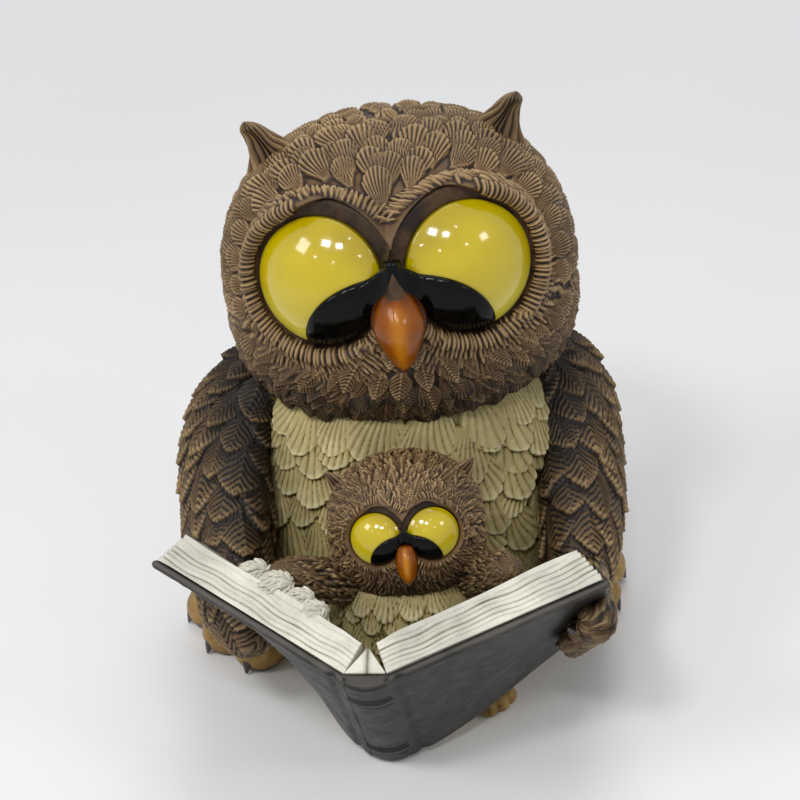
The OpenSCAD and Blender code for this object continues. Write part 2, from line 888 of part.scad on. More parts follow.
module baby_beak_shape(g = 0) {
    l = baby_head_w * 0.28;
    y = face_y(baby_head_w, baby_head_d, baby_head_up, 0, 0);
    form([for (s = [[-1, -0.06, 0.06], [-0.75, -0.05, 0.2], [-0.4, 0, 0.26], [-0.1, 0.05, 0.18],
                    [0, 0.08, 0.06]])
        [0, y - 0.4 + s[1] * l, baby_eye_z - 1 + s[0] * l, l * s[2], l * s[2] * 1.15]], 7, 12, g);
}

module baby_head() {
    color(brown) difference() {
        union() {
            baby_head_form();
            at_baby_head() {
                for (side = [left, right]) {
                    baby_ear(side);
                    at_baby_eye(side) rotate_extrude($fn = 14)
                        translate([baby_eye_r + 0.7, 0.3]) circle(1.1, $fn = 4);
                }
            }
            intersection() {
                at_baby_head() {
                    feather_rows(baby_head_rings, [3.6], -110, 110, 6, 6, 9, 1.2, 12, 0.5);
                    feather_rows(baby_head_rings, [8.4], 80, 280, 4, 9, 11, 1.2, 0, 0.5);
                }
                baby_head_form(baby_stand);
            }
        }
        at_baby_head() {
            for (side = [left, right])
                at_baby_eye(side) {
                    eye_socket(baby_eye_r, baby_eye_bulge, baby_shank_r, baby_shank_l);
                    pupil_bridge(baby_eye_r, baby_pupil_t, -side, seam);
                }
            baby_beak_shape(seam);
        }
        breast_space();
        book_space();
    }
}

module baby_eye(side) {
    color(yellow) at_baby_head() at_baby_eye(side)
        eye(baby_eye_r, baby_eye_bulge, baby_shank_r, baby_shank_l);
}

module baby_pupil(side) {
    color(black) at_baby_head() intersection() {
        at_baby_eye(side) pupil(baby_eye_r, baby_eye_bulge, baby_pupil_t, -side);
        half(side, baby_head_w * 2);
    }
}

module baby_beak() {
    color(amber) at_baby_head() difference() {
        baby_beak_shape();
        for (side = [left, right])
            at_baby_eye(side) {
                eye_socket(baby_eye_r, baby_eye_bulge, baby_shank_r, baby_shank_l);
                pupil_bridge(baby_eye_r, baby_pupil_t, -side, seam);
            }
    }
}

module baby_body() {
    color(cream) difference() {
        intersection() {
            union() {
                baby_body_form();
                at_baby() feather_rows(baby_body, [3.3, 2.4], -80, 80, 5, 11, 10, 1.4, 10);
            }
            baby_body_form(baby_stand);
        }
        baby_head_form(baby_stand + seam);
        breast_space();
        body_form(seam);
        book_space();
    }
}

// The small owl's wings lie on the pages: how far across the board each tip reaches
baby_wing_reach = [0.52, 0.66];

function baby_wing_tip(side) =
    book_point(side, baby_wing_reach[side == left ? 0 : 1], 0.9, pages_t + 3.4);

function baby_shoulder(side) =
    [side * baby_body_w * 0.3 - baby_left, -baby_front - 2, baby_head_z - baby_head_down];

function baby_wing_rings(side) =
    [for (s = [[0, 0.3], [0.2, 0.8], [0.5, 1], [0.8, 0.9], [1, 0.6]])
        [0, 0, norm(baby_shoulder(side) - baby_wing_tip(side)) * s[0], 4.4 * s[1], 5 * s[1]]];

module at_baby_wing(side) {
    along(baby_wing_tip(side), baby_shoulder(side)) children();
}

module baby_wing(side) {
    color(dark_brown) difference() {
        at_baby_wing(side) {
            form(baby_wing_rings(side), 5, 8);
            feather_rows(baby_wing_rings(side), [3, 1.9], 0, 360, 5, 8, 7, 1.2, 2, 0.5);
        }
        baby_body_form(baby_stand + seam);
        baby_head_form(baby_stand + seam);
        breast_space();
        book_space();
    }
}

baby_foot_r = 4;

module baby_feet() {
    reach = baby_foot_r * 2.2;
    color(ochre) difference() {
        for (side = [left, right], k = [-1 : 1])
            at_baby() translate([side * baby_body_w * 0.3 + 3, 4, baby_foot_r * 0.8])
                rotate([0, 0, side * 40 + k * 22]) {
                    knuckle = [0, -reach * 0.6, 0];
                    link([0, 0, 0], knuckle, baby_foot_r, baby_foot_r * 0.9);
                    link(knuckle, [0, -reach, -baby_foot_r * 0.2], baby_foot_r * 0.9, baby_foot_r * 0.6);
                }
        baby_body_form(seam);
        book_space();
        floor_cut();
        breast_space();
        body_form(seam);
    }
}

torso();
breast();
head();
one_eye(left);  // left_eye
one_eye(right);  // right_eye
one_pupil(left);  // left_pupil
one_pupil(right);  // right_pupil
beak();
wing(left);  // left_wing
wing(right);  // right_wing
wing_claws(left);  // left_wing_claws
wing_claws(right);  // right_wing_claws
foot(left);  // left_foot
foot(right);  // right_foot
claws(left);  // left_claws
claws(right);  // right_claws
book_cover();
spine_lining();
pages(left);  // left_pages
pages(right);  // right_pages
baby_body();
baby_head();
baby_eye(left);  // baby_left_eye
baby_eye(right);  // baby_right_eye
baby_pupil(left);  // baby_left_pupil
baby_pupil(right);  // baby_right_pupil
baby_beak();
baby_wing(left);  // baby_left_wing
baby_wing(right);  // baby_right_wing
baby_feet();
base_pad();
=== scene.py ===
import math

import bpy
import numpy as np
from mathutils import Matrix, Vector


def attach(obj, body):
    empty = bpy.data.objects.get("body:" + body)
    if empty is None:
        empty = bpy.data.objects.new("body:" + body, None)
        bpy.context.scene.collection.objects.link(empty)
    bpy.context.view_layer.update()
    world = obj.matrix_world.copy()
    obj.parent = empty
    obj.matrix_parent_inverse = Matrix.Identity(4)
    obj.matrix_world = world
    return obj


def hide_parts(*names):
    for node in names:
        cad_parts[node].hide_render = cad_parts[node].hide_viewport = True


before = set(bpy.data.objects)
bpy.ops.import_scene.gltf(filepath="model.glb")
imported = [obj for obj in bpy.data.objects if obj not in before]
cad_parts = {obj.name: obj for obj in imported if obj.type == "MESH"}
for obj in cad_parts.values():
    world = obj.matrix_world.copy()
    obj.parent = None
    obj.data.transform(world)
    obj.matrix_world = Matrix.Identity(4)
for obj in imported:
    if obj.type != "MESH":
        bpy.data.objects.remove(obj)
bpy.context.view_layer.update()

MM = 0.001
LEFT, RIGHT = -1, 1
WORD = {LEFT: "left", RIGHT: "right"}
DETAIL = 1.0


def cells(count, least=0):
    return int(count * DETAIL) + least


# ---------- Small maths, in millimetres and degrees ----------

def unit(a):
    return a / np.maximum(np.linalg.norm(a, axis=-1, keepdims=True), 1e-9)


def smooth(a, b, x):
    t = np.clip((x - a) / (b - a), 0, 1)
    return t * t * (3 - 2 * t)


def flattened(v, n):
    """The direction of v once it lies square to the normal n."""
    return unit(v - n * (v @ n))


def swung(along, normal, angle):
    """A direction turned about the normal."""
    return unit(along * cosd(angle) + np.cross(normal, along) * sind(angle))


def spow(a, e):
    return np.sign(a) * np.abs(a) ** e


def sind(a):
    return np.sin(np.radians(a))


def cosd(a):
    return np.cos(np.radians(a))


def move(x, y, z):
    m = np.eye(4)
    m[:3, 3] = x, y, z
    return m


def turn(axis, angle):
    c, s = cosd(angle), sind(angle)
    m = np.eye(4)
    i, j = {"x": (1, 2), "y": (2, 0), "z": (0, 1)}[axis]
    m[i, i] = m[j, j] = c
    m[i, j], m[j, i] = -s, s
    return m


def flip(side):
    return np.diag([side, 1.0, 1.0, 1.0])


def apply(m, p):
    return p @ m[:3, :3].T + m[:3, 3]


def undo(m, p):
    return (p - m[:3, 3]) @ np.linalg.inv(m[:3, :3]).T


def spline(stations, u):
    """Values of a smooth curve through the stations at positions u."""
    s = np.asarray(stations, float)
    n = len(s) - 1
    u = np.atleast_1d(np.asarray(u, float))
    i = np.clip(np.floor(u).astype(int), 0, n - 1)
    t = (u - i)[:, None]
    a, b, c, d = s[np.maximum(i - 1, 0)], s[i], s[i + 1], s[np.minimum(i + 2, n)]
    return (2 * b + (c - a) * t + (2 * a - 5 * b + 4 * c - d) * t ** 2
            + (3 * b - a - 3 * c + d) * t ** 3) / 2


def noise(p, size, seed=0):
    """Smooth random values from -1 to 1 at the points, with grains of this size."""
    q = p / size + 512.0
    i = np.floor(q).astype(np.int64)
    f = q - i
    f = f * f * (3 - 2 * f)
    total = np.zeros(len(p))
    for k in range(8):
        o = np.array([k & 1, (k >> 1) & 1, k >> 2])
        j = i + o
        h = (j[:, 0] * 73856093) ^ (j[:, 1] * 19349663) ^ (j[:, 2] * 83492791) ^ (seed * 7919 + 13)
        h = (h ^ (h >> 13)) * 1274126177 & 0x7FFFFFFF
        weight = np.prod(np.where(o, f, 1 - f), axis=1)
        total += weight * ((h % 10007) / 5003.5 - 1)
    return total


# ---------- Surfaces ----------

def join(parts):
    """One surface from several: each is (points, quads, {attribute: values})."""
    points, quads, values, base = [], [], {}, 0
    for p, q, a in parts:
        points.append(p)
        quads.append(q + base)
        base += len(p)
        for key in ("cavity", "tone", "tip"):
            values.setdefault(key, []).append(a.get(key, np.full(len(p), 0.5)))
    values = {key: np.concatenate(v) for key, v in values.items()}
    return np.concatenate(points), np.concatenate(quads), values


def on_floor(part, low=0.0):
    """The surface with what hangs below the floor pressed flat on it."""
    p, q, values = part
    p[:, 2] = np.maximum(p[:, 2], low)
    return p, q, values


def grid_quads(rows, cols, closed):
    """Quads of a grid of points, closed round its columns or not."""
    r, c = np.meshgrid(np.arange(rows - 1), np.arange(cols if closed else cols - 1), indexing="ij")
    d = (c + 1) % cols
    return np.stack([r * cols + c, r * cols + d, (r + 1) * cols + d, (r + 1) * cols + c], -1).reshape(-1, 4)


def outward(p, q):
    """The quads, turned over if they face inwards."""
    a, b, c, d = (p[q[:, k]] for k in range(4))
    volume = np.sum(np.cross(b - a, c - a) * a) + np.sum(np.cross(c - a, d - a) * a)
    return q if volume > 0 else q[:, ::-1]


def normals(p, q):
    n = np.zeros_like(p)
    face = np.cross(p[q[:, 2]] - p[q[:, 0]], p[q[:, 3]] - p[q[:, 1]])
    for k in range(4):
        for axis in range(3):
            n[:, axis] += np.bincount(q[:, k], face[:, axis], len(p))
    return unit(n)


CAP_RINGS = 8


def tube(stations, rows, cols):
    """Closed surface through oval rings [x, y, z, half width, half depth], low to high."""
    u = np.linspace(0, len(stations) - 1, rows)
    s = spline(stations, u)
    az = np.arange(cols) * 360 / cols
    ring = np.stack([s[:, :1] + s[:, 3:4] * sind(az), s[:, 1:2] - s[:, 4:5] * cosd(az),
                     np.repeat(s[:, 2:3], cols, 1)], -1)
    caps = []
    for k in (0, -1):
        centre = ring[k].mean(0)
        caps.append([centre + (ring[k] - centre) * f for f in np.linspace(0.02, 0.9, CAP_RINGS)])
    ring = np.concatenate([np.array(caps[0]), ring, np.array(caps[1])[::-1]])
    u = np.concatenate([np.zeros(CAP_RINGS), u, np.full(CAP_RINGS, u[-1])])
    p = ring.reshape(-1, 3)
    q = outward(p, grid_quads(len(ring), cols, True))
    return p, q, np.repeat(u, cols), np.tile(az, len(ring))


def box_skin(counts):
    """Points from 0 to 1 on the faces of a box, with this many cells each way, and their quads."""
    n = np.array(counts)
    corners, quads, base = [], [], 0
    for axis in range(3):
        b, c = (axis + 1) % 3, (axis + 2) % 3
        i, j = np.meshgrid(np.arange(n[b] + 1), np.arange(n[c] + 1), indexing="ij")
        i, j = i.reshape(-1), j.reshape(-1)
        square = grid_quads(n[b] + 1, n[c] + 1, False)
        for end in (0, n[axis]):
            corner = np.zeros((len(i), 3), int)
            corner[:, axis], corner[:, b], corner[:, c] = end, i, j
            corners.append(corner)
            quads.append((square if end else square[:, ::-1]) + base)
            base += len(i)
    layer = (n[1] + 1) * (n[2] + 1)
    key = np.concatenate(corners) @ [layer, n[2] + 1, 1]
    kept, where = np.unique(key, return_inverse=True)
    p = np.stack([kept // layer, kept // (n[2] + 1) % (n[1] + 1), kept % (n[2] + 1)], -1) / n
    return p, where.reshape(-1)[np.concatenate(quads)]


def cube_ball(n):
    """Even quads over the unit sphere."""
    p, q = box_skin((n, n, n))
    p = unit(np.tan((p * 2 - 1) * math.pi / 4))
    return p, outward(p, q)


def limb(points, radii, around, along):
    """Round, tapering tube through the points, closed at both ends by domes."""
    s = spline(np.column_stack([points, radii]), np.linspace(0, len(points) - 1, along))
    line, r = s[:, :3], s[:, 3]
    ahead = unit(np.gradient(line, axis=0))
    cap = np.linspace(0.03, 1, CAP_RINGS + 1) * math.pi / 2
    line = np.concatenate([line[:1] - ahead[:1] * r[0] * np.cos(cap)[:-1, None], line,
                           line[-1:] + ahead[-1:] * r[-1] * np.cos(cap)[::-1][1:, None]])
    r = np.concatenate([r[0] * np.sin(cap)[:-1], r, r[-1] * np.sin(cap)[::-1][1:]])
    ahead = np.concatenate([np.repeat(ahead[:1], CAP_RINGS, 0), ahead, np.repeat(ahead[-1:], CAP_RINGS, 0)])
    side = unit(np.cross(ahead, [0.0, 0.02, 1.0]))
    high = np.cross(side, ahead)
    az = np.arange(around) * 360 / around
    p = (line[:, None] + r[:, None, None] * (side[:, None] * cosd(az)[None, :, None]
                                             + high[:, None] * sind(az)[None, :, None]))
    p = p.reshape(-1, 3)
    return p, outward(p, grid_quads(len(line), around, True))


class Skin:
    """A dense surface that feathers are raised on; the higher of two feathers shows."""

    def __init__(self, p, q):
        self.p, self.q, self.n = p, q, normals(p, q)
        count = len(p)
        self.h = np.zeros(count)
        self.tone = np.full(count, 0.5)
        self.tip = np.full(count, 0.4)
        self.order = np.argsort(p[:, 2], kind="stable")
        self.level = p[self.order, 2]

    def near(self, at, radius):
        """Which points are within the radius."""
        lo, hi = np.searchsorted(self.level, [at[2] - radius, at[2] + radius])
        i = self.order[lo:hi]
        d = self.p[i] - at
        return i[np.einsum("ij,ij->i", d, d) < radius * radius]

    def stamp(self, root, along, normal, length, width, lift, style, seed):
        """Raises one feather from its root; it takes only the points that lie lower than it."""
        reach = 0.5 * math.hypot(length, width) * 1.08
        i = self.near(root + along * length * 0.5, reach)
        if len(i) < 4:
            return
        q = self.p[i] - root
        flat = q - np.outer(q @ normal, normal)
        arc = np.minimum(np.linalg.norm(q, axis=1) / np.maximum(np.linalg.norm(flat, axis=1), 1e-6), 1.35)
        x = (q @ along) * arc
        y = (q @ np.cross(normal, along)) * arc
        h, inside = feather_height(x, y, length, width, lift, style, seed)
        h = np.where((self.n[i] @ normal > 0.05) & inside, h, -9)
        win = h > self.h[i]
        j = i[win]
        self.h[j] = h[win]
        self.tone[j] = (seed * 7.31) % 1.0
        self.tip[j] = np.clip(x[win] / length, 0, 1)

    def blurred(self, values, times):
        """The values evened out with their neighbours' this many times."""
        e = np.concatenate([self.q[:, [k, (k + 1) % 4]] for k in range(4)])
        deg = np.bincount(e[:, 0], minlength=len(values)) + np.bincount(e[:, 1], minlength=len(values))
        for _ in range(times):
            near = (np.bincount(e[:, 0], values[e[:, 1]], len(values))
                    + np.bincount(e[:, 1], values[e[:, 0]], len(values))) / deg
            values = values * 0.4 + near * 0.6
        return values

    def done(self, matrix, depth):
        """The surface with its feathers raised, and how high each spot is over its surroundings."""
        fine = (self.h - self.blurred(self.h, 6)) / depth
        broad = (self.h - self.blurred(self.h, 40)) / (depth * 2.6)
        cavity = np.clip(0.5 + 0.42 * fine + 0.34 * broad, 0, 1)
        p = self.p + self.n * self.h[:, None]
        if matrix is not None:
            p = apply(matrix, p)
        return p, self.q, {"cavity": cavity, "tone": self.tone, "tip": self.tip}


# Of each kind of feather: where it is widest, how wide its root is, its rays and their grooves' depth.
STYLES = {"fan": (0.68, 0.34, 8.6, 0.72), "shell": (0.52, 0.62, 7.0, 0.55), "leaf": (0.42, 0.45, 9.0, 0.78)}


def feather_width(u, style):
    """Share of a feather's full width at these shares of its length."""
    widest, root, _, _ = STYLES[style]
    low = root + (1 - root) * smooth(0, 1, np.clip(u, 0, widest) / widest)
    t = np.clip((u - widest) / (1 - widest), 0, 1)
    end = np.cos(t * math.pi / 2) ** 0.72 if style == "leaf" else np.sqrt(np.clip(1 - t * t, 0, 1))
    return np.where(u < widest, low, end)


def stroke_height(u, w, lift):
    """Height of one modelled stroke of fur, thickest past its middle."""
    waist = 0.25 + 0.75 * np.sin(np.clip(u, 0, 1) * math.pi) ** 0.7
    body = np.clip(1 - (w / np.maximum(waist, 0.05)) ** 2, 0, 1)
    rise = np.clip(u, 0, 1) ** 0.7 * np.clip((1.02 - u) / 0.22, 0, 1) ** 0.7
    return lift * (0.25 + 0.75 * rise) * body ** 0.8, (u > 0) & (u < 1.02) & (body > 0.02)


def feather_height(x, y, length, width, lift, style, seed):
    """Height over the skin of one feather, and where it lies. x runs from its root to its tip."""
    u = x / length
    wob = math.sin(seed * 91.7)
    w = y / (width / 2) + 0.10 * wob * u * u
    if style == "stroke":
        return stroke_height(u, w, lift)
    _, _, rays, depth = STYLES[style]
    if style == "leaf":
        pitch = width / 6.2
        barb = x - np.abs(y) * 1.15
        phase = (barb + 0.25 * np.sin(np.abs(y) * 2 + seed * 50)) / pitch
    else:
        angle = np.arctan2(w * width / 2, (u + 0.3) * length)
        spread = math.atan2(width / 2, length)
        phase = angle / spread * (rays + 1.6 * wob) / 2 + 0.22 * np.sin(u * 5 + seed * 40)
    comb = np.abs(np.cos(math.pi * phase))
    notched = 1 - 0.10 * smooth(0.4, 0.8, u) * (1 - comb)
    inside = feather_width(u, style) * notched - np.abs(w)
    edge = smooth(0, 0.16, inside) * smooth(-0.04, 0.05, u)
    groove = (1 - comb ** 0.55) * smooth(0.06, 0.32, u) * (0.5 + 0.5 * smooth(0, 0.3, inside))
    top = lift * (0.18 + 0.82 * np.clip(u, 0, 1) ** 1.15)
    top = top + 0.055 * width * (1 - np.clip(np.abs(w), 0, 1) ** 2)
    if style == "leaf":
        top = top + 0.34 * np.exp(-(y / (width * 0.045)) ** 2) * (1 - 0.6 * np.clip(u, 0, 1))
    return (top - depth * min(1.0, width / 7.5) * groove) * edge, (inside > 0) & (u > -0.04)


def feather_solid(root, along, normal, length, width, thick, style, seed, bend):
    """One free feather with a thickness, bent towards its normal."""
    rows, cols = cells(34, 8), cells(26, 7)
    u, w = np.meshgrid(np.linspace(0.0, 0.995, rows), np.linspace(-1, 1, cols), indexing="ij")
    half = feather_width(u, style) * width / 2
    wave = 1 + 0.05 * np.sin(u * 17 + seed * 30) + 0.04 * np.sin(w * 9 + seed * 20)
    x, y = (u * length).reshape(-1), (w * half * wave).reshape(-1)
    u, w = u.reshape(-1), w.reshape(-1)
    relief, _ = feather_height(x, y * 0.94, length, width, 0.0, style, seed)
    body = thick * np.sqrt(np.clip(1 - w ** 4, 0, 1))
    h = np.maximum(relief, 0) + body
    across = np.cross(normal, along)
    middle = root + np.outer(x, along) + np.outer(y, across) + np.outer(bend * u ** 2, normal)
    p = np.concatenate([middle + np.outer(h, normal), middle - np.outer(body, normal)])
    count = rows * cols
    grid = np.arange(count).reshape(rows, cols)
    rim = np.concatenate([grid[0], grid[1:, -1], grid[-1, ::-1][1:], grid[::-1, 0][1:-1]])
    after = np.roll(rim, -1)
    wall = np.stack([rim, after, after + count, rim + count], -1)
    sheet = grid_quads(rows, cols, False)
    q = outward(p, np.concatenate([sheet, sheet[:, ::-1] + count, wall[:, ::-1]]))
    comb = np.clip(0.5 + (h - np.median(h)) / 0.5 * 0.4, 0, 1)
    out = smooth(0, 0.25, u)
    # Painted shade: the root, where the feather meets the body, and the whole underside are set dark.
    cavity = np.concatenate([comb * out + 0.1 * (1 - out), np.full(count, 0.12)])
    return p, q, {"cavity": cavity, "tone": np.full(2 * count, (seed * 7.31) % 1.0), "tip": np.tile(u, 2)}


# ---------- Paint ----------

def rgb(text):
    """Linear colour of a written hex colour."""
    v = np.array([int(text[k:k + 2], 16) / 255 for k in (0, 2, 4)])
    v = np.where(v <= 0.04045, v / 12.92, ((v + 0.055) / 1.055) ** 2.4)
    return (*v, 1.0)


class Nodes:
    """Short names for building one material's nodes."""

    def __init__(self, name):
        self.m = bpy.data.materials.new(name)
        self.m.use_nodes = True
        self.t = self.m.node_tree
        self.t.nodes.clear()
        self.b = self.add("BsdfPrincipled")
        self.link(self.b.outputs[0], self.add("OutputMaterial").inputs[0])
        self.where = self.add("TexCoord").outputs["Object"]

    def add(self, kind, **inputs):
        """A new node; each input is a value or another node's output."""
        n = self.t.nodes.new("ShaderNode" + kind)
        for key, value in inputs.items():
            self.feed(value, n.inputs[key])
        return n

    def link(self, a, b):
        self.t.links.new(a, b)

    def feed(self, value, socket):
        if isinstance(value, (int, float, tuple)):
            socket.default_value = value
        else:
            self.link(value, socket)

    def attribute(self, name):
        n = self.add("Attribute")
        n.attribute_name = name
        return n.outputs["Fac"]

    def grain(self, scale, detail):
        n = self.add("TexNoise", Scale=scale, Detail=detail, Roughness=0.55, Vector=self.where)
        return n.outputs["Fac"]

    def ramp(self, value, stops):
        n = self.add("ValToRGB")
        e = n.color_ramp.elements
        while len(e) < len(stops):
            e.new(0.5)
        for k, (at, colour) in enumerate(stops):
            e[k].position = at
            e[k].color = colour if isinstance(colour, tuple) else (colour, colour, colour, 1)
        self.link(value, n.inputs[0])
        return n.outputs["Color"]

    def mix(self, share, a, b, blend="MIX"):
        n = self.add("Mix")
        n.data_type = "RGBA"
        n.blend_type = blend
        n.clamp_result = True
        for value, key in ((share, 0), (a, 6), (b, 7)):
            self.feed(value, n.inputs[key])
        return n.outputs[2]

    def maths(self, kind, a, b, clamp=True):
        n = self.add("Math")
        n.operation = kind
        n.use_clamp = clamp
        self.feed(a, n.inputs[0])
        self.feed(b, n.inputs[1])
        return n.outputs[0]

    def bump(self, height, strength, distance):
        n = self.add("Bump", Strength=strength, Distance=distance, Height=height)
        self.link(n.outputs[0], self.b.inputs["Normal"])

    def uneven(self, level, cloud, share):
        """The level, with this share of the cloud's ups and downs added."""
        shift = self.maths("MULTIPLY", self.maths("SUBTRACT", cloud, 0.5, False), share, False)
        return self.maths("ADD", level, shift)

    def set(self, **values):
        for key, value in values.items():
            self.feed(value, self.b.inputs[key.replace("_", " ")])


def resin(name, dark, base, light, tips, rough=0.55, shade=0.25, wash=0.0):
    """Painted resin: a dark wash in the hollows, a base coat and a dry-brushed light on the ridges."""
    n = Nodes(name)
    cavity, tone, tip = n.attribute("cavity"), n.attribute("tone"), n.attribute("tip")
    worn = n.grain(260, 3)
    fine = n.grain(1400, 2)
    level = n.uneven(cavity, worn, 0.34)
    coat = n.ramp(level, [(0.16 + wash, rgb(dark)), (0.42 + wash, rgb(base)),
                          (0.56 + wash, rgb(base)), (0.86, rgb(light))])
    lit = n.maths("MULTIPLY", n.maths("POWER", tip, 1.6), n.ramp(level, [(0.35, 0.0), (0.75, 1.0)]))
    coat = n.mix(n.maths("MULTIPLY", lit, 0.5), coat, rgb(tips))
    coat = n.mix(n.ramp(tone, [(0.0, shade), (0.5, 0.0)]), coat, rgb(dark))
    patch = n.ramp(n.grain(55, 2), [(0.35, 0.78), (0.65, 1.12)])
    coat = n.mix(1.0, coat, patch, "MULTIPLY")
    n.set(Base_Color=n.mix(0.16, coat, fine, "OVERLAY"), Specular_IOR_Level=0.3,
          Roughness=n.ramp(worn, [(0.3, rough - 0.08), (0.7, rough + 0.10)]))
    n.bump(n.grain(2600, 3), 0.12, 0.00025)
    return n.m


def gloss(name, stops, rough, grain_scale, grain_share, coat, painted_shade, shine=0.5):
    """Glossy enamel whose colour follows the piece's own shading attribute, with slight clouding; where its
    tip attribute is low, a painted shade colour is mixed in.
    """
    n = Nodes(name)
    level = n.uneven(n.attribute("cavity"), n.grain(grain_scale, 3), grain_share)
    colour = n.ramp(level, [(at, rgb(c)) for at, c in stops])
    # Painted shade: low tip values mix the colour towards the painted shade colour.
    colour = n.mix(n.ramp(n.attribute("tip"), [(0.0, 0.55), (0.2, 0.0)]), colour, rgb(painted_shade))
    n.set(Base_Color=colour, Specular_IOR_Level=shine, Coat_Weight=coat, Coat_Roughness=0.03,
          Roughness=n.ramp(n.grain(700, 3), [(0.3, rough), (0.7, rough + 0.07)]))
    n.bump(n.grain(190, 2), 0.06, 0.0006)
    return n.m


def felt():
    """Dark felt of the pad in the underside."""
    n = Nodes("felt")
    n.set(Base_Color=n.ramp(n.grain(900, 4), [(0.3, rgb("232120")), (0.7, rgb("454240"))]), Roughness=0.95)
    n.bump(n.grain(3000, 3), 0.5, 0.0004)
    return n.m


PAINT = {
    "brown_resin": resin("brown resin", "1e1108", "674d30", "a1855c", "b59b72", wash=0.06),
    "wing_resin": resin("wing resin", "100803", "57422a", "988059", "a78c64", shade=0.3, wash=0.12),
    "cream_resin": resin("cream resin", "4f4018", "a99964", "d4c698", "e0d5ac", shade=0.15),
    "foot_ochre": resin("ochre resin", "2f1f0b", "8f6e34", "b8945a", "c4a468", rough=0.42),
    "book_charcoal": resin("book charcoal", "0b0a09", "211f1d", "4a4640", "4a4640", rough=0.42, shade=0.0),
    "page_resin": resin("page resin", "5b574a", "c2beae", "dedbcc", "dedbcc", rough=0.5, shade=0.0),
    "eye_yellow": gloss("eye yellow",
                        [(0.0, "837200"), (0.24, "b8a000"), (0.42, "c9b200"), (1.0, "dccd48")],
                        0.10, 90, 0.35, coat=0.6, painted_shade="4a4208", shine=0.4),
    "gloss_black": gloss("gloss black", [(0.0, "020202"), (1.0, "060605")], 0.08, 120, 0.2,
                         coat=0.04, painted_shade="000000", shine=0.12),
    "beak_amber": gloss("beak amber", [(0.0, "281000"), (0.35, "6a3200"), (0.6, "8e4a00"), (1.0, "c07a12")],
                        0.2, 160, 0.3, coat=0.2, painted_shade="2c1405", shine=0.2),
    "claw_black": gloss("claw black", [(0.0, "050404"), (0.6, "15110e"), (1.0, "3a3028")], 0.22, 300, 0.3,
                        coat=0.4, painted_shade="050404"),
}


def show(name, part, paint, *cad_nodes, slot=None):
    """Makes one object from a surface, in the frame's own units; its slot is its paint's name."""
    p, q, values = part
    me = bpy.data.meshes.new(name)
    me.vertices.add(len(p))
    me.vertices.foreach_set("co", (p * MM).astype(np.float32).reshape(-1))
    me.loops.add(len(q) * 4)
    me.loops.foreach_set("vertex_index", q.astype(np.int32).reshape(-1))
    me.polygons.add(len(q))
    me.polygons.foreach_set("loop_start", np.arange(0, len(q) * 4, 4, dtype=np.int32))
    me.polygons.foreach_set("loop_total", np.full(len(q), 4, np.int32))
    me.update(calc_edges=True)
    me.validate()
    me.polygons.foreach_set("use_smooth", np.ones(len(me.polygons), bool))
    for key in ("cavity", "tone", "tip"):
        a = me.attributes.new(key, "FLOAT", "POINT")
        a.data.foreach_set("value", np.asarray(values.get(key, np.full(len(p), 0.5)), np.float32))
    me.materials.append(PAINT[paint])
    obj = bpy.data.objects.new(name, me)
    bpy.context.scene.collection.objects.link(obj)
    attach(obj, "root")
    if cad_nodes:
        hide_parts(*cad_nodes)


# ---------- Owl heads ----------

HEAD_W, EYE_R = 82, 14.8


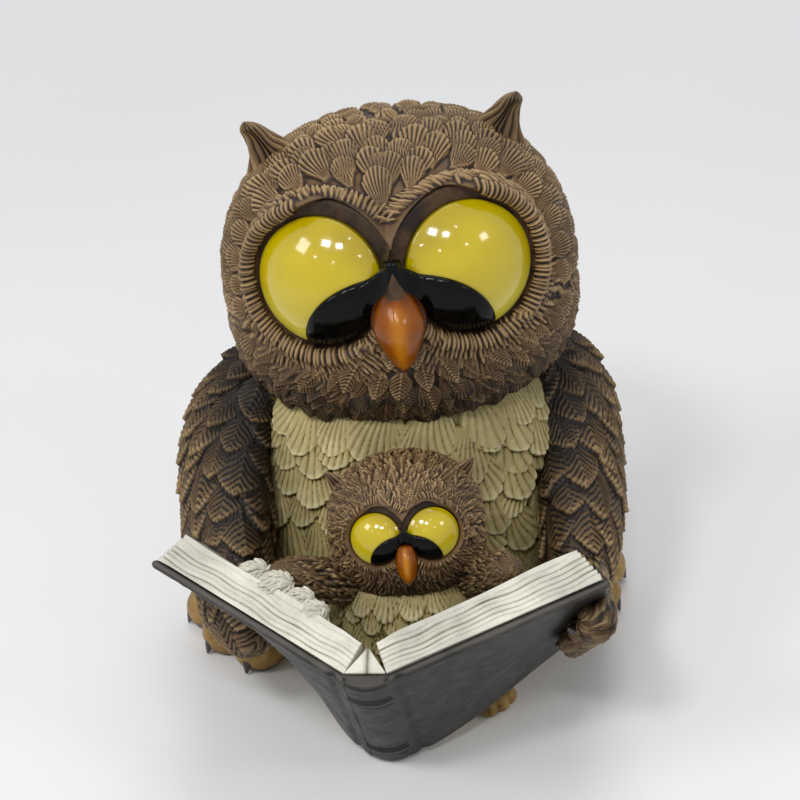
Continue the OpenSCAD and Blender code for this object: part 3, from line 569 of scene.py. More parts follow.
class Head:
    """Sizes and frames of one owl's head, in its own frame."""

    def __init__(self, w, d, up, down, matrix, eye_r, eye_x, eye_z, bulge, eye_turn, pupil_t):
        self.w, self.d, self.up, self.down, self.matrix = w, d, up, down, matrix
        self.eye_r, self.eye_z, self.bulge, self.pupil_t = eye_r, eye_z, bulge, pupil_t
        self.cap = (eye_r ** 2 + bulge ** 2) / (2 * bulge)
        self.eyes = {side: move(side * eye_x, self.face_y(eye_x, eye_z), eye_z) @ turn("z", side * eye_turn)
                     @ turn("x", 80) @ move(0, 0, -eye_r ** 2 / w) for side in (LEFT, RIGHT)}

    def face_y(self, x, z):
        f = math.sqrt(1 - (z / self.up) ** (2 / 0.84)) ** 0.84
        return -self.d / 2 * f * math.sqrt(max(0, 1 - (x / (self.w / 2 * f)) ** 2))

    def surface(self, direction):
        """Points of the head in these directions from its middle."""
        g = np.atleast_2d(direction)
        s = np.clip(g[:, 2], -1, 1)
        box = np.where(s < 0, 0.62, 0.84)
        f = np.sqrt(np.clip(1 - s * s, 0, 1)) ** box
        flat = np.maximum(np.hypot(g[:, 0], g[:, 1]), 1e-9)
        z = np.where(s < 0, self.down, self.up) * spow(s, box)
        return np.stack([self.w / 2 * f * g[:, 0] / flat, self.d / 2 * f * g[:, 1] / flat, z], -1)

    def eye_polar(self, p, side):
        e = undo(self.eyes[side], p)
        return e, np.hypot(e[:, 0], e[:, 1]) / self.eye_r

    def brow_gap(self, e, side):
        """How far a rim stands off its eye: close below and outside, wide at the brow and the nose."""
        reach = np.maximum(np.hypot(e[:, 0], e[:, 1]), 1e-6)
        inner, high = -side * e[:, 0] / reach, e[:, 1] / reach
        return inner, high, 0.04 + 0.24 * smooth(0.3, 0.85, 0.7 * high + 0.75 * inner)

    def shaped(self, p):
        """The head's surface with its sockets sunk and its rims raised."""
        p = p.copy()
        for side in (LEFT, RIGHT):
            e, r = self.eye_polar(p, side)
            front = e[:, 2] > -self.eye_r * 0.9
            size = self.eye_r / EYE_R
            inner, high, gap = self.brow_gap(e, side)
            brow = smooth(-0.1, 0.8, high) * 1.3 + smooth(0.1, 0.9, inner * 0.5 + high * 0.6) * 0.6
            far = np.where(r < 1, r, 1 + np.maximum(r - 1 - gap, 0) * 0.4 / (0.4 - gap))
            rim = np.interp(far, [0, 0.985, 1.0, 1.01, 1.06, 1.13, 1.22, 1.4],
                            [-2.2, -2.2, -0.9, -0.6, 0.9, 1.6, 1.8, 1.3]) * size
            rim = rim + brow * size * smooth(1.01, 1.08, far)
            share = np.where(front, 1 - smooth(1.2, 1.42, r), 0)
            e[:, 2] = e[:, 2] * (1 - share) + rim * share
            p = apply(self.eyes[side], e)
        return p

    def zones(self, p, side):
        """Distance from an eye's middle, in eye radii, less its rim's gap; far off behind the face."""
        e, r = self.eye_polar(p, side)
        return np.where(e[:, 2] > -self.eye_r, r - self.brow_gap(e, side)[2], 9)

    def eye_zone(self, p):
        return np.minimum(self.zones(p, LEFT), self.zones(p, RIGHT))


def eye_dome(head, side):
    """Yellow cap of a ball with a turned-in edge, darker inside and paler outside and below."""
    rows, cols = 70, 140
    s = np.concatenate([np.linspace(0.004, 1, rows - 8), np.ones(8)])
    drop = np.concatenate([np.zeros(rows - 8), np.linspace(0.25, 2.6, 8)]) * head.eye_r / EYE_R
    az = np.arange(cols) * 360 / cols
    r = head.eye_r * s[:, None] * 0.998
    x, y = r * cosd(az), r * sind(az)
    z = head.bulge - head.cap + np.sqrt(np.maximum(head.cap ** 2 - x * x - y * y, 0)) - drop[:, None]
    p = np.stack([x, y, z], -1).reshape(-1, 3)
    q = outward(p, grid_quads(rows, cols, True))
    outer = (side * x * 0.45 - y * 0.85).reshape(-1) / head.eye_r
    band = 0.42 + 0.55 * smooth(0.45, 0.85, outer) - 0.18 * smooth(0.3, 0.9, -outer)
    # The dome's edge, where it turns in under the socket, is marked to take the painted shade colour.
    rim = 1 - smooth(0.955, 1.0, np.repeat(s, cols))
    rim[np.repeat(drop, cols) > 0] = 0
    return apply(head.matrix @ head.eyes[side], p), q, {"cavity": band, "tip": rim}


def lens(head, side):
    """Black lens over the inner lower part of an eye, drawn out to the bridge over the beak."""
    r = head.eye_r
    inner = -side
    far = np.array([inner * r * 1.63 * cosd(-49), r * 1.63 * sind(-49)])
    middle = unit(far) * r * 0.615
    low = head.eye_z + 0.2 * r
    meet = undo(head.eyes[side], np.array([0, head.face_y(0, low) - 0.20 * r, low]))
    rows, cols = 44, 240
    az = np.arange(cols) * 360 / cols
    ray = np.stack([cosd(az), sind(az)], -1)

    def reach(centre, radius):
        o = middle - centre
        b = ray @ o
        return -b + np.sqrt(np.maximum(b * b - (o @ o - radius * radius), 0))

    limit = np.minimum(reach(np.zeros(2), r * 1.004), reach(far, r * 1.36))
    lift = np.degrees(np.arctan2(ray[:, 1], ray[:, 0] * inner))
    aim = math.degrees(math.atan2(meet[1] - middle[1], abs(meet[0] - middle[0])))
    neck = smooth(aim - 22, aim - 11, lift) * smooth(aim + 13, aim + 6, lift)
    bridge = (abs(meet[0] - middle[0]) + 0.09 * r) / np.maximum(ray[:, 0] * inner, 0.3)
    limit = limit + np.maximum(bridge - limit, 0) * neck
    for _ in range(4):
        limit = (np.roll(limit, 1) + limit * 2 + np.roll(limit, -1)) / 4
    s = np.concatenate([np.linspace(0.01, 0.9, rows - 14), np.linspace(0.92, 1, 14)])
    xy = middle + ray[None] * (s[:, None] * limit)[..., None]
    flat = np.hypot(xy[..., 0], xy[..., 1])
    dome = head.bulge - head.cap + np.sqrt(np.maximum(head.cap ** 2 - flat ** 2, 0))
    past = smooth(0.72 * r, abs(meet[0]), xy[..., 0] * inner) * smooth(0.8, 1.0, flat / r)
    z = dome * (1 - past) + meet[2] * past
    lump = head.pupil_t * 1.25 * (1 - s[:, None] ** 7) ** 0.5
    top = np.concatenate([xy, (z + lump)[..., None]], -1)
    under = np.concatenate([xy, (z - 0.5 - 0.1 * r * past)[..., None]], -1)[::-1]
    p = np.concatenate([top, under]).reshape(-1, 3)
    q = outward(p, grid_quads(2 * rows, cols, True))
    return apply(head.matrix @ head.eyes[side], p), q, {"cavity": np.full(len(p), 0.4)}


def ear(matrix, stations, grooves, concave, seed):
    """Horn-shaped tuft with long striations and a hollow front."""
    p, q, u, az = tube(stations, cells(90, 20), cells(120, 40))
    part = u / (len(stations) - 1)
    wander = 16 * np.sin(part * 5 + seed) + 14 * noise(p, 4.0, 5)
    comb = np.abs(cosd((az + wander) * grooves / 2))
    front = np.clip(cosd(az), 0, 1)
    grooved = (1 - comb ** 0.6) * (1 - part ** 3) * stations[0][3] * 0.075
    hollow = front ** 2 * concave * np.sin(np.clip(part * 1.2, 0, 1) * math.pi)
    # Painted shade in the hollow front: it is darker than the back.
    cavity = np.clip(0.25 + 0.55 * comb - 0.35 * front ** 3, 0, 1)
    p = apply(matrix, p + normals(p, q) * (-grooved - hollow)[:, None])
    return p, q, {"cavity": cavity, "tip": part}


class HeadSkin(Skin):
    """A head's surface with fans over the crown, fur round the eyes and leaves below."""

    def __init__(self, head, fans, fur, seed):
        p, q = cube_ball(cells(fans["grid"]))
        super().__init__(head.shaped(head.surface(p)), q)
        self.head, self.fans, self.fur = head, fans, fur
        self.local = np.random.default_rng(seed)
        self.scale = head.w / HEAD_W
        self.brow = unit(np.array([0, head.face_y(0, head.up * 0.2), head.up * 0.27]))
        above = unit(np.cross(self.brow, [1.0, 0, 0]))
        self.above = above if above[2] > 0 else -above
        self.beside = np.cross(self.brow, self.above)

    def place(self, alpha, psi):
        """Root, direction and normal of a feather at this angle from the brow, psi from straight up."""
        ray = cosd(psi) * self.above + sind(psi) * self.beside
        rays = [cosd(x) * self.brow + sind(x) * ray for x in (alpha, alpha + 1.5)]
        a, b = self.head.surface(np.stack(rays))
        i = self.near(a, 2.5 * self.scale)
        if len(i) < 3:
            i = np.array([np.argmin(((self.p - a) ** 2).sum(1))])
        normal = unit(self.n[i].mean(0))
        return self.p[i].mean(0), flattened(b - a, normal), normal

    def feather(self, alpha, psi, lift):
        """One feather of the crown, cheeks or back; at the back they hang down."""
        head, local = self.head, self.local
        high = 0.5 + 0.5 * cosd(psi)
        chin = 1 - high
        width = self.fans["width"] * (0.85 + 0.25 * high * (alpha < 60)) * local.uniform(0.85, 1.15)
        root, along, normal = self.place(alpha + local.uniform(-1.5, 1.5), psi)
        zone = head.eye_zone(root[None])[0]
        tip_zone = head.eye_zone((root + along * width * 0.6)[None])[0]
        swing = local.uniform(-9, 9)
        down = np.array([0, 0, -1.0]) + normal * normal[2]
        back = smooth(60, 100, alpha) * smooth(-0.2, 0.5, root[1] / head.d * 2)
        along = swung(unit(along * (1 - back) + unit(down) * back), normal, swing)
        if zone > (1.1 if chin < 0.4 else 1.24) and tip_zone > 1.16:
            length = width * local.uniform(1.25, 1.5) * self.fans["stretch"]
            style = "leaf" if chin > 0.62 and alpha < 100 else self.fans["style"]
            self.stamp(root, along, normal, length, width, lift * local.uniform(0.8, 1.15),
                       style, local.uniform(0, 1))
        return width

    def crown(self):
        """Rings of feathers from the brow to the back, then low ones in the gaps that are left."""
        local, lift = self.local, self.fans["lift"]
        alpha = self.fans["start"]
        while alpha < 177:
            radius = self.head.w / 2 * sind(alpha)
            psi = local.uniform(0, 6)
            while psi < 360:
                psi += math.degrees(self.feather(alpha, psi, lift) * 0.80 / max(radius, 3))
            alpha += math.degrees(self.fans["pitch"] * local.uniform(0.92, 1.05) / (self.head.w * 0.47))
        for psi in np.repeat(np.arange(40, 320, 7.0), 9):
            self.feather(local.uniform(50, 150), psi + local.uniform(-4, 4), lift * 0.5)

    def combs(self, side):
        """Rings of combed strokes round one eye, each eye's on its own side of the face."""
        head, local = self.head, self.local
        for ring, (reach, length, width, lift) in enumerate(self.fur["rings"]):
            count = int(2 * math.pi * reach * head.eye_r / (width * 0.82))
            for k in range(count):
                a = 360 * (k + 0.5 * (ring % 2) + local.uniform(-0.25, 0.25)) / count
                gap = head.brow_gap(np.array([[cosd(a), sind(a), 0]]), side)[2][0]
                mid = (reach + gap + local.uniform(-0.02, 0.02)) * head.eye_r + length * 0.5
                guess = apply(head.eyes[side], np.array([mid * cosd(a), mid * sind(a), 1.5 * self.scale]))
                i = self.near(guess, 5.5 * self.scale)
                if len(i) < 3:
                    continue
                e, _ = head.eye_polar(self.p[i], side)
                d = (e[:, 0] - mid * cosd(a)) ** 2 + (e[:, 1] - mid * sind(a)) ** 2
                at = self.p[i[np.argmin(d)]]
                if head.zones(at[None], -side)[0] < head.zones(at[None], side)[0] - 0.03:
                    continue
                normal = unit(self.n[self.near(at, 1.6 * self.scale)].mean(0))
                along = flattened(head.eyes[side][:3, :3] @ np.array([cosd(a + 8), sind(a + 8), 0]), normal)
                self.stamp(at - along * length * 0.5, along, normal, length * local.uniform(0.9, 1.2), width,
                           lift * local.uniform(0.8, 1.2), "stroke", local.uniform(0, 1))

    def loose_fur(self):
        """Short strokes scattered over the cheeks, clear of the eyes."""
        local = self.local
        length, width, lift = self.fur["size"]
        for _ in range(self.fur["loose"]):
            psi = local.uniform(*self.fur["psi"]) * local.choice([-1, 1])
            root, along, normal = self.place(local.uniform(*self.fur["alpha"]), psi)
            if self.head.eye_zone(root[None])[0] < 1.4:
                continue
            along = swung(along, normal, local.normal(0, 16))
            self.stamp(root, along, normal, length * local.uniform(0.7, 1.3), width * local.uniform(0.7, 1.2),
                       lift * local.uniform(0.75, 1.25), "stroke", local.uniform(0, 1))

    def finished(self):
        """The head in its place: smooth sockets and the chin under the face darkened with painted shade."""
        head, scale = self.head, self.scale
        zone = head.eye_zone(self.p)
        self.h = self.h * smooth(0.985, 1.03, zone)
        self.h = self.h + 0.10 * scale * noise(self.p, 2.2 * scale, 3) * smooth(1.0, 1.2, zone)
        p, q, values = self.done(head.matrix, 0.25 * scale ** 0.5)
        # Painted shade in the sockets, and on the chin under the face where the head overhangs the breast.
        shade = smooth(1.04, 0.99, zone)
        chin = smooth(-0.15, -0.6, self.p[:, 2] / head.down) * smooth(0.2, -0.5, self.p[:, 1] / head.d * 2)
        socket = shade * (0.27 + 0.08 * noise(self.p, 5, 9))
        values["cavity"] = (values["cavity"] * (1 - shade) + socket) * (1 - 0.35 * chin)
        values["tip"] = values["tip"] * (1 - shade)
        return p, q, values


def head_skin(head, fans, fur, seed):
    skin = HeadSkin(head, fans, fur, seed)
    skin.crown()
    skin.combs(LEFT)
    skin.combs(RIGHT)
    skin.loose_fur()
    return skin.finished()


AT_HEAD = move(0, -4, 96) @ turn("z", -6) @ turn("y", -4)
AT_BABY = move(-6, -53, 0)
AT_BABY_HEAD = AT_BABY @ move(0, 0, 56) @ turn("z", -6) @ turn("y", -4) @ turn("x", -12)
MOTHER = Head(w=HEAD_W, d=72, up=38, down=28, matrix=AT_HEAD, eye_r=EYE_R, eye_x=17.6, eye_z=14, bulge=6.5,
              eye_turn=20, pupil_t=1.3)
BABY = Head(w=35, d=30.1, up=16.8, down=14, matrix=AT_BABY_HEAD, eye_r=5.8, eye_x=6.6, eye_z=2.69,
            bulge=5.8 * 0.42, eye_turn=14, pupil_t=0.64)

# Fur has rings of combed strokes (reach in eye radii, length, width, lift), then loose strokes of one size.
MOTHER_FANS = {"grid": 240, "start": 3, "width": 6.6, "pitch": 4.2, "stretch": 1.05, "lift": 1.25,
               "style": "fan"}
MOTHER_FUR = {"rings": [(1.01, 3.9, 1.1, 1.05), (1.15, 4.2, 1.15, 1.05), (1.3, 4.2, 1.25, 1.05),
                        (1.46, 4.0, 1.35, 1.0)],
              "loose": 1000, "psi": (75, 150), "alpha": (35, 110), "size": (5.2, 1.9, 1.3)}
BABY_FANS = {"grid": 130, "start": 12, "width": 3.0, "pitch": 1.9, "stretch": 1.1, "lift": 0.5,
             "style": "leaf"}
BABY_FUR = {"rings": [(1.1, 1.8, 0.6, 0.6), (1.3, 2.0, 0.66, 0.65), (1.5, 2.2, 0.7, 0.7),
                      (1.7, 2.2, 0.75, 0.7)],
            "loose": 800, "psi": (0, 170), "alpha": (10, 125), "size": (3.0, 1.15, 0.85)}


def mother_ear(side):
    """Ear tuft that leans outwards to a rounded, bent tip."""
    ring = [[side * x, y, z, wide, deep] for x, y, z, wide, deep in
            ((0, 0, -4.5, 9.8, 7.0), (-0.2, 0, 2.2, 8.0, 6.0), (-0.2, 0, 7.2, 5.2, 4.4),
             (1.0, 0, 11.4, 3.3, 3.0), (2.2, 0, 14.2, 2.2, 2.1), (2.7, 0, 15.6, 0.5, 0.5))]
    return ear(AT_HEAD @ move(side * 25, 2, 26.6) @ turn("y", side * 14), ring, 13, 2.8, side)


def baby_ear(side, length=7.2):
    ring = [[side * x, 0, z * length, wide * length, deep * length] for x, z, wide, deep in
            ((0, -.5, .5, .4), (0, .1, .42, .33), (.2, .5, .24, .2), (.4, .85, .05, .05))]
    return ear(AT_BABY_HEAD @ move(side * 12.6, 0, 10.08) @ turn("y", side * 38), ring, 9, 1.0, side)


show("head_plumage", head_skin(MOTHER, MOTHER_FANS, MOTHER_FUR, 5), "brown_resin", "head")
for side, word in WORD.items():
    show(f"{word}_ear_tuft", mother_ear(side), "brown_resin")
    show(f"{word}_eye_dome", eye_dome(MOTHER, side), "eye_yellow", f"{word}_eye")
    show(f"{word}_pupil_lens", lens(MOTHER, side), "gloss_black", f"{word}_pupil")
    show(f"baby_{word}_eye_dome", eye_dome(BABY, side), "eye_yellow", f"baby_{word}_eye")
    show(f"baby_{word}_pupil_lens", lens(BABY, side), "gloss_black", f"baby_{word}_pupil")


# ---------- Beaks ----------

def beak_part(matrix, rings):
    """Egg-shaped beak with a ridge down its front and a mouth line at each side."""
    p, q, u, az = tube(rings, cells(110, 20), cells(120, 30))
    part = u / (len(rings) - 1)
    from_front = np.abs((az + 180) % 360 - 180)
    ridge = np.exp(-(from_front / 20) ** 2) * np.sin(np.clip(part * 1.05, 0, 1) * math.pi)
    mouth = np.exp(-((from_front - 78) / 7) ** 2) * smooth(0.1, 0.3, part) * smooth(0.95, 0.7, part)
    h = spline(rings, u)[:, 3] * (0.14 * ridge - 0.12 * mouth)
    ends = 0.5 * smooth(0.75, 1.0, part) + 0.35 * smooth(0.22, 0.0, part)
    # Painted shade in the mouth lines' creases: they are darker here, and through the tip attribute they take
    # the painted shade colour.
    cavity = 0.52 + 0.42 * ridge - 0.5 * mouth - ends
    cavity = np.clip(cavity - 0.3 * smooth(40, 110, from_front), 0, 1)
    p = apply(matrix, p + normals(p, q) * h[:, None])
    return p, q, {"cavity": cavity, "tip": np.clip(1 - mouth, 0, 1)}


def beak_peak(head, size, root_z):
    """The brown ridge of the face that rises to a point over the beak."""
    y = head.face_y(0, root_z) - size * 0.55
    line = [[0, y - size * back, root_z + size * high] for back, high in
            ((0.25, -1.3), (0.25, -0.4), (0.3, 0.25), (0.34, 0.9))]
    p, q = limb(line, [size * 0.9, size * 0.62, size * 0.34, size * 0.05], 60, 50)
    return apply(head.matrix, p), q, {"cavity": 0.34 + 0.1 * noise(p, 2, 6), "tip": np.zeros(len(p))}


def mother_beak(length=20, width=12.6, root_z=14):
    front = MOTHER.face_y(0, 4) - 1
    rings = [[0, front + y * length * 0.6, root_z + z * length, width * r, width * r * 1.1] for z, y, r in
             ((-1, -.14, .03), (-.88, -.11, .2), (-.66, -.06, .38), (-.4, 0, .5), (-.16, .06, .36),
              (0, .12, .12))]
    return beak_part(AT_HEAD, rings)


def baby_beak(length=9.8, root_z=1.69):
    front = BABY.face_y(0, 0) - 0.4
    rings = [[0, front + y * length, root_z + z * length, length * r, length * r * 1.15] for z, y, r in
             ((-1, -.06, .03), (-.75, -.05, .2), (-.4, 0, .26), (-.1, .05, .18), (0, .08, .06))]
    return beak_part(AT_BABY_HEAD, rings)


show("beak_peak", beak_peak(MOTHER, 3.6, 14.3), "brown_resin")
show("beak_shell", mother_beak(), "beak_amber", "beak")
show("baby_beak_shell", baby_beak(), "beak_amber", "baby_beak")

# ---------- Rows of feathers ----------

def ring_frame(stations, u, az):
    """Point, downward direction and outward normal of a form at a height and an angle from the front."""
    def at(uu, aa):
        s = spline(stations, uu)[0]
        return np.array([s[0] + s[3] * sind(aa), s[1] - s[4] * cosd(aa), s[2]])
    a = at(u, az)
    down = unit(at(u - 0.12, az) - a)
    across = unit(at(u, az + 2) - a)
    normal = unit(np.cross(across, -down))
    centre = spline(stations, u)[0][:3]
    if normal @ (a - centre) < 0:
        normal = -normal
    return a, flattened(down, normal), normal


def plumage(stations, rows, cols, plan, seed, sway=5):
    """A ring form covered with rows of feathers: (u, from, to, width, length, lift, style, spread).

    A row's feathers stand equally far apart along its oval, whose length to each angle is summed up.
    """
    p, q, _, _ = tube(stations, cells(rows, 8), cells(cols, 8))
    skin = Skin(p, q)
    local = np.random.default_rng(seed)
    for k, (u, a0, a1, width, length, lift, style, spread) in enumerate(plan):
        s = spline(stations, u)[0]
        around = math.pi * (3 * (s[3] + s[4]) - math.sqrt((3 * s[3] + s[4]) * (s[3] + 3 * s[4])))
        arc = around * (a1 - a0) / 360
        count = max(1, int(round(arc / (width * 0.78))))
        t = np.linspace(0, 2 * math.pi, 721)
        speed = np.hypot(s[3] * np.cos(t), s[4] * np.sin(t))
        reach = np.concatenate([[0], np.cumsum((speed[1:] + speed[:-1]) / 2)])
        reach = reach / reach[-1] * 360
        for j in range(count):
            share = (j + (0.25 if k % 2 else 0.75) + local.uniform(-0.12, 0.12)) / count
            lo, hi = (np.interp(a % 360, np.degrees(t), reach) + 360 * (a // 360) for a in (a0, a1))
            want = lo + (hi - lo) * share
            az = np.interp(want % 360, reach, np.degrees(t)) + 360 * (want // 360)
            root, along, normal = ring_frame(stations, u + local.uniform(-0.06, 0.06), az)
            along = swung(along, normal, spread * sind(az) + local.normal(0, sway))
            size = local.uniform(0.88, 1.14)
            skin.stamp(root, along, normal, length * size, width * size * local.uniform(0.95, 1.08),
                       lift * local.uniform(0.85, 1.2), style, local.uniform(0, 1))
    skin.h = skin.h + 0.09 * noise(skin.p, 1.6, seed)
    return skin


# ---------- Chin fringe ----------

def fringe(head, rows, seed):
    """Rows of free feathers round the chin, their ragged tips over the breast."""
    local = np.random.default_rng(seed)
    parts = []
    for level, limit, width, length, out, lift in rows:
        radius = head.w / 2 * cosd(level) ** 0.62
        count = int(2 * limit / math.degrees(width * 0.72 / radius))
        for k in range(count):
            az = -limit + 2 * limit * (k + local.uniform(0.2, 0.8)) / count
            a, b = head.surface(np.stack([[cosd(x) * sind(az), -cosd(x) * cosd(az), sind(x)]
                                          for x in (level, level - 5)]))
            along = unit(b - a)
            radial = unit(np.array([sind(az) * head.d, -cosd(az) * head.w, 0.0]))
            across = unit(np.cross(along, radial))
            normal = np.cross(across, along)
            if normal @ radial < 0:
                normal = -normal
            tilt = out + local.normal(0, 4)
            along, normal = (unit(along * cosd(tilt) + normal * sind(tilt)),
                             unit(normal * cosd(tilt) - along * sind(tilt)))
            along = swung(along, normal, local.normal(0, 9))
            size = local.uniform(0.85, 1.2)
            wide = width * local.uniform(0.85, 1.15)
            style = local.choice(["leaf", "fan", "leaf"])
            parts.append(feather_solid(a - normal * 0.5, along, normal, length * size, wide,
                                       0.45 * width / 7, style, local.uniform(0, 1), -lift * size))
    p, q, values = join(parts)
    # The whole fringe is darkened as painted shade under the chin.
    values["cavity"] = values["cavity"] * 0.72
    return apply(head.matrix, p), q, values


show("chin_fringe", fringe(MOTHER, [(-12, 118, 5.6, 7.0, 13, 1.0), (-22, 124, 5.8, 7.2, 15, 1.2),
                                    (-32, 126, 6.0, 7.0, 17, 1.3)], 3), "wing_resin", slot="brown_resin")

# ---------- Body and breast ----------

BODY_H, BODY_W, BODY_D = 78, 82, 64


def feather_rows(count, top, step, span, size, lift, styles, spread):
    """Plan of rows of feathers from the top down; the kind changes half way where two are given."""
    width, length = size
    return [(top - step * k, *span, width, length, lift, styles[0] if k < count / 2 else styles[-1], spread)
            for k in range(count)]


def body_part():
    """Egg-shaped body with fans on the upper back and leaves below them."""
    rings = [[0, 0, BODY_H * z, BODY_W / 2 * r, BODY_D / 2 * r] for z, r in
             ((0, .86), (.08, .94), (.31, 1), (.58, .97), (.82, .86), (.94, .72), (1, .58))]
    plan = feather_rows(12, 5.6, 0.42, (60, 300), (9.5, 12.5), 1.4, ("fan", "leaf"), 6)
    return on_floor(plumage(rings, 190, 560, plan, 21).done(None, 0.4))


def tail_part():
    """Two rows of tail feathers that hang from the lower back to the floor."""
    local = np.random.default_rng(8)
    parts = []
    for row, (count, length) in enumerate(((7, 25), (6, 20))):
        for k in range(count):
            a = (k - (count - 1) / 2) * 10
            root = np.array([sind(a) * 26, 22 + 4.5 * cosd(a) + row * 1.6, 25 + row * 3])
            normal = unit(np.array([sind(a) * 0.9, cosd(a), 0.42]))
            along = flattened(unit(np.array([sind(a) * 0.45, 0.19, -1.0])), normal)
            reach = length * local.uniform(0.95, 1.0)
            parts.append(feather_solid(root, along, normal, reach, 10.5, 1.5, "leaf",
                                       local.uniform(0, 1), 0.8))
    return on_floor(join(parts), 0.05)


def breast_part():
    """Cream breast with rows of wide shells that sway to both sides."""
    rings = [[0, -7, 10 + 65 * z, BODY_W * 0.44 * r, BODY_D / 2 * r] for z, r in
             ((0, .90), (.25, .98), (.5, 1), (.75, .95), (.92, .85), (1, .74))]
    plan = feather_rows(9, 5.0, 0.56, (-100, 100), (12.2, 13.6), 2.1, ("shell",), 6)
    return plumage(rings, 240, 800, plan, 31, sway=12).done(None, 0.4)


show("body_plumage", body_part(), "brown_resin", "torso")
show("tail_feathers", tail_part(), "brown_resin")
show("breast_plumage", breast_part(), "cream_resin", "breast")

# ---------- Wings ----------

WING_HALF_T, WING_HALF_W = 8.8, 27.4
AT_WING = {RIGHT: move(44, 0, 0) @ turn("z", -12), LEFT: flip(-1) @ move(47, 0, 0) @ turn("z", -2)}


def wing_part(side):
    """Wing whose leaf-shaped feathers grow longer and wider from the shoulder down."""
    rings = [[x + 0.8, y, z, WING_HALF_T * thick, WING_HALF_W * wide] for z, x, y, thick, wide in
             ((18, -4, -28, .3, .3), (25, -2, -29, .75, .78), (34, 0, -25, .95, 1), (45, -1, -16, 1.05, .98),
              (56, -3, -7, 1.05, .76), (66, -8, -1, .98, .52), (74, -15, 1, .7, .34), (77, -18, 1, .3, .16))]
    plan = [(6.5 - 0.46 * k, 0, 360, 8.6 + 0.25 * k, 11.5 + 0.5 * k, 2.3, "leaf", -4) for k in range(13)]
    skin = plumage(rings, 210, 430, plan, 41 + side)
    p, q, values = skin.done(AT_WING[side], 0.42)
    shaded = smooth(8, -6, skin.p[:, 0]) * smooth(30, 60, skin.p[:, 2])
    values["cavity"] = values["cavity"] * (1 - 0.45 * shaded)
    return p, outward(p, q), values


for side, word in WORD.items():
    show(f"{word}_wing_plumage", wing_part(side), "wing_resin", f"{word}_wing")

# ---------- Book ----------

AT_BOOK = move(-13, -64, 2) @ turn("z", -11) @ turn("x", 33) @ turn("y", -2)
BOOK_H, BOARD_W, BOARD_T, PAGES_T, SPINE_HALF, PROUD = 49, 52, 2, 8, 4.6, 0.7
OPEN = {LEFT: 32, RIGHT: 25}
LEAVES = 7


def book_point(side, t, v, w):
    """Points of the book: t across a board from the spine, v up it, w in from its inner face."""
    t, v, w = np.broadcast_arrays(t, v, w)
    open_angle = OPEN[side]
    twist = 14 * smooth(0, 0.7, t) if side == LEFT else 13 * smooth(0, 1.1, t)
    across = np.array([side * cosd(open_angle), sind(open_angle), 0])
    inward = np.array([-side * sind(open_angle), cosd(open_angle), 0])
    z = np.array([0, 0, 1.0])
    up = z * cosd(twist)[..., None] - inward * sind(twist)[..., None]
    out = inward * cosd(twist)[..., None] + z * sind(twist)[..., None]
    p = (np.array([side * SPINE_HALF, 0, BOOK_H]) + across * (BOARD_W * t)[..., None]
         - up * (BOOK_H * (1 - v))[..., None] + out * w[..., None])
    return apply(AT_BOOK, p)


def board(side):
    """One cover board with rounded edges, a hinge groove and a grained, worn face."""
    c, q = box_skin((cells(120), cells(112), 8))
    a, b, d = c.T
    t, v = -0.022 + 1.022 * a, b
    edge = np.minimum.reduce([(1 - a) * BOARD_W, b * BOOK_H, (1 - b) * BOOK_H])
    round_off = np.sqrt(np.clip(1 - (1 - np.clip(edge / 0.9, 0, 1)) ** 2 * 0.85, 0, 1))
    w = -BOARD_T / 2 + (d - 0.5) * BOARD_T * round_off
    outer = 1 - smooth(0.2, 0.9, d)
    flat = np.stack([t * BOARD_W, v * BOOK_H, np.full(len(t), side * 9.0)], -1)
    hinge = np.exp(-((t * BOARD_W - 2.2) / 1.0) ** 2)
    w = w + outer * (0.55 * hinge - 0.07 * noise(flat, 1.6, 4) - 0.16 * noise(flat, 9, 6))
    worn = 1 - smooth(0.0, 1.1, edge + 0.5 * noise(flat, 2.5, 7))
    cavity = 0.36 + 0.05 * noise(flat, 4, 8) + 0.5 * worn - 0.3 * outer * hinge
    p = book_point(side, t, v, w)
    return p, outward(p, q), {"cavity": np.clip(cavity, 0, 1), "tip": np.zeros(len(t))}


def spine():
    """Rounded back of the book with raised bands between tooled lines."""
    c, q = box_skin((cells(64), cells(170), 6))
    a, b, d = c.T
    half = SPINE_HALF + 0.4
    radius = (half * half + 2.6) / 3.2
    x = (2 * a - 1) * half
    arc = radius - (BOARD_T + 1.6) - np.sqrt(radius ** 2 - x * x)
    z = b * BOOK_H
    band = sum(np.exp(-(np.abs(z - BOOK_H * s - 0.75) / 0.85) ** 4) for s in (0.14, 0.79))
    line = sum(np.exp(-((z - BOOK_H * s) / 0.28) ** 2) for s in (0.115, 0.195, 0.765, 0.845))
    place = np.stack([x, arc, z], -1)
    from_end = np.minimum(z, BOOK_H - z)
    out = 0.55 * band - 0.3 * line + 0.06 * noise(place, 1.6, 14) - 0.5 * smooth(1.2, 0, from_end)
    y = (arc - out) * (1 - d)
    p = apply(AT_BOOK, np.stack([x, y, z], -1))
    worn = smooth(0.5, 1.0, band) * 0.4 + 0.4 * smooth(1.0, 0, from_end + 0.4 * noise(place, 2, 3))
    return p, outward(p, q), {"cavity": np.clip(0.34 + worn - 0.5 * line, 0, 1), "tip": np.zeros(len(x))}


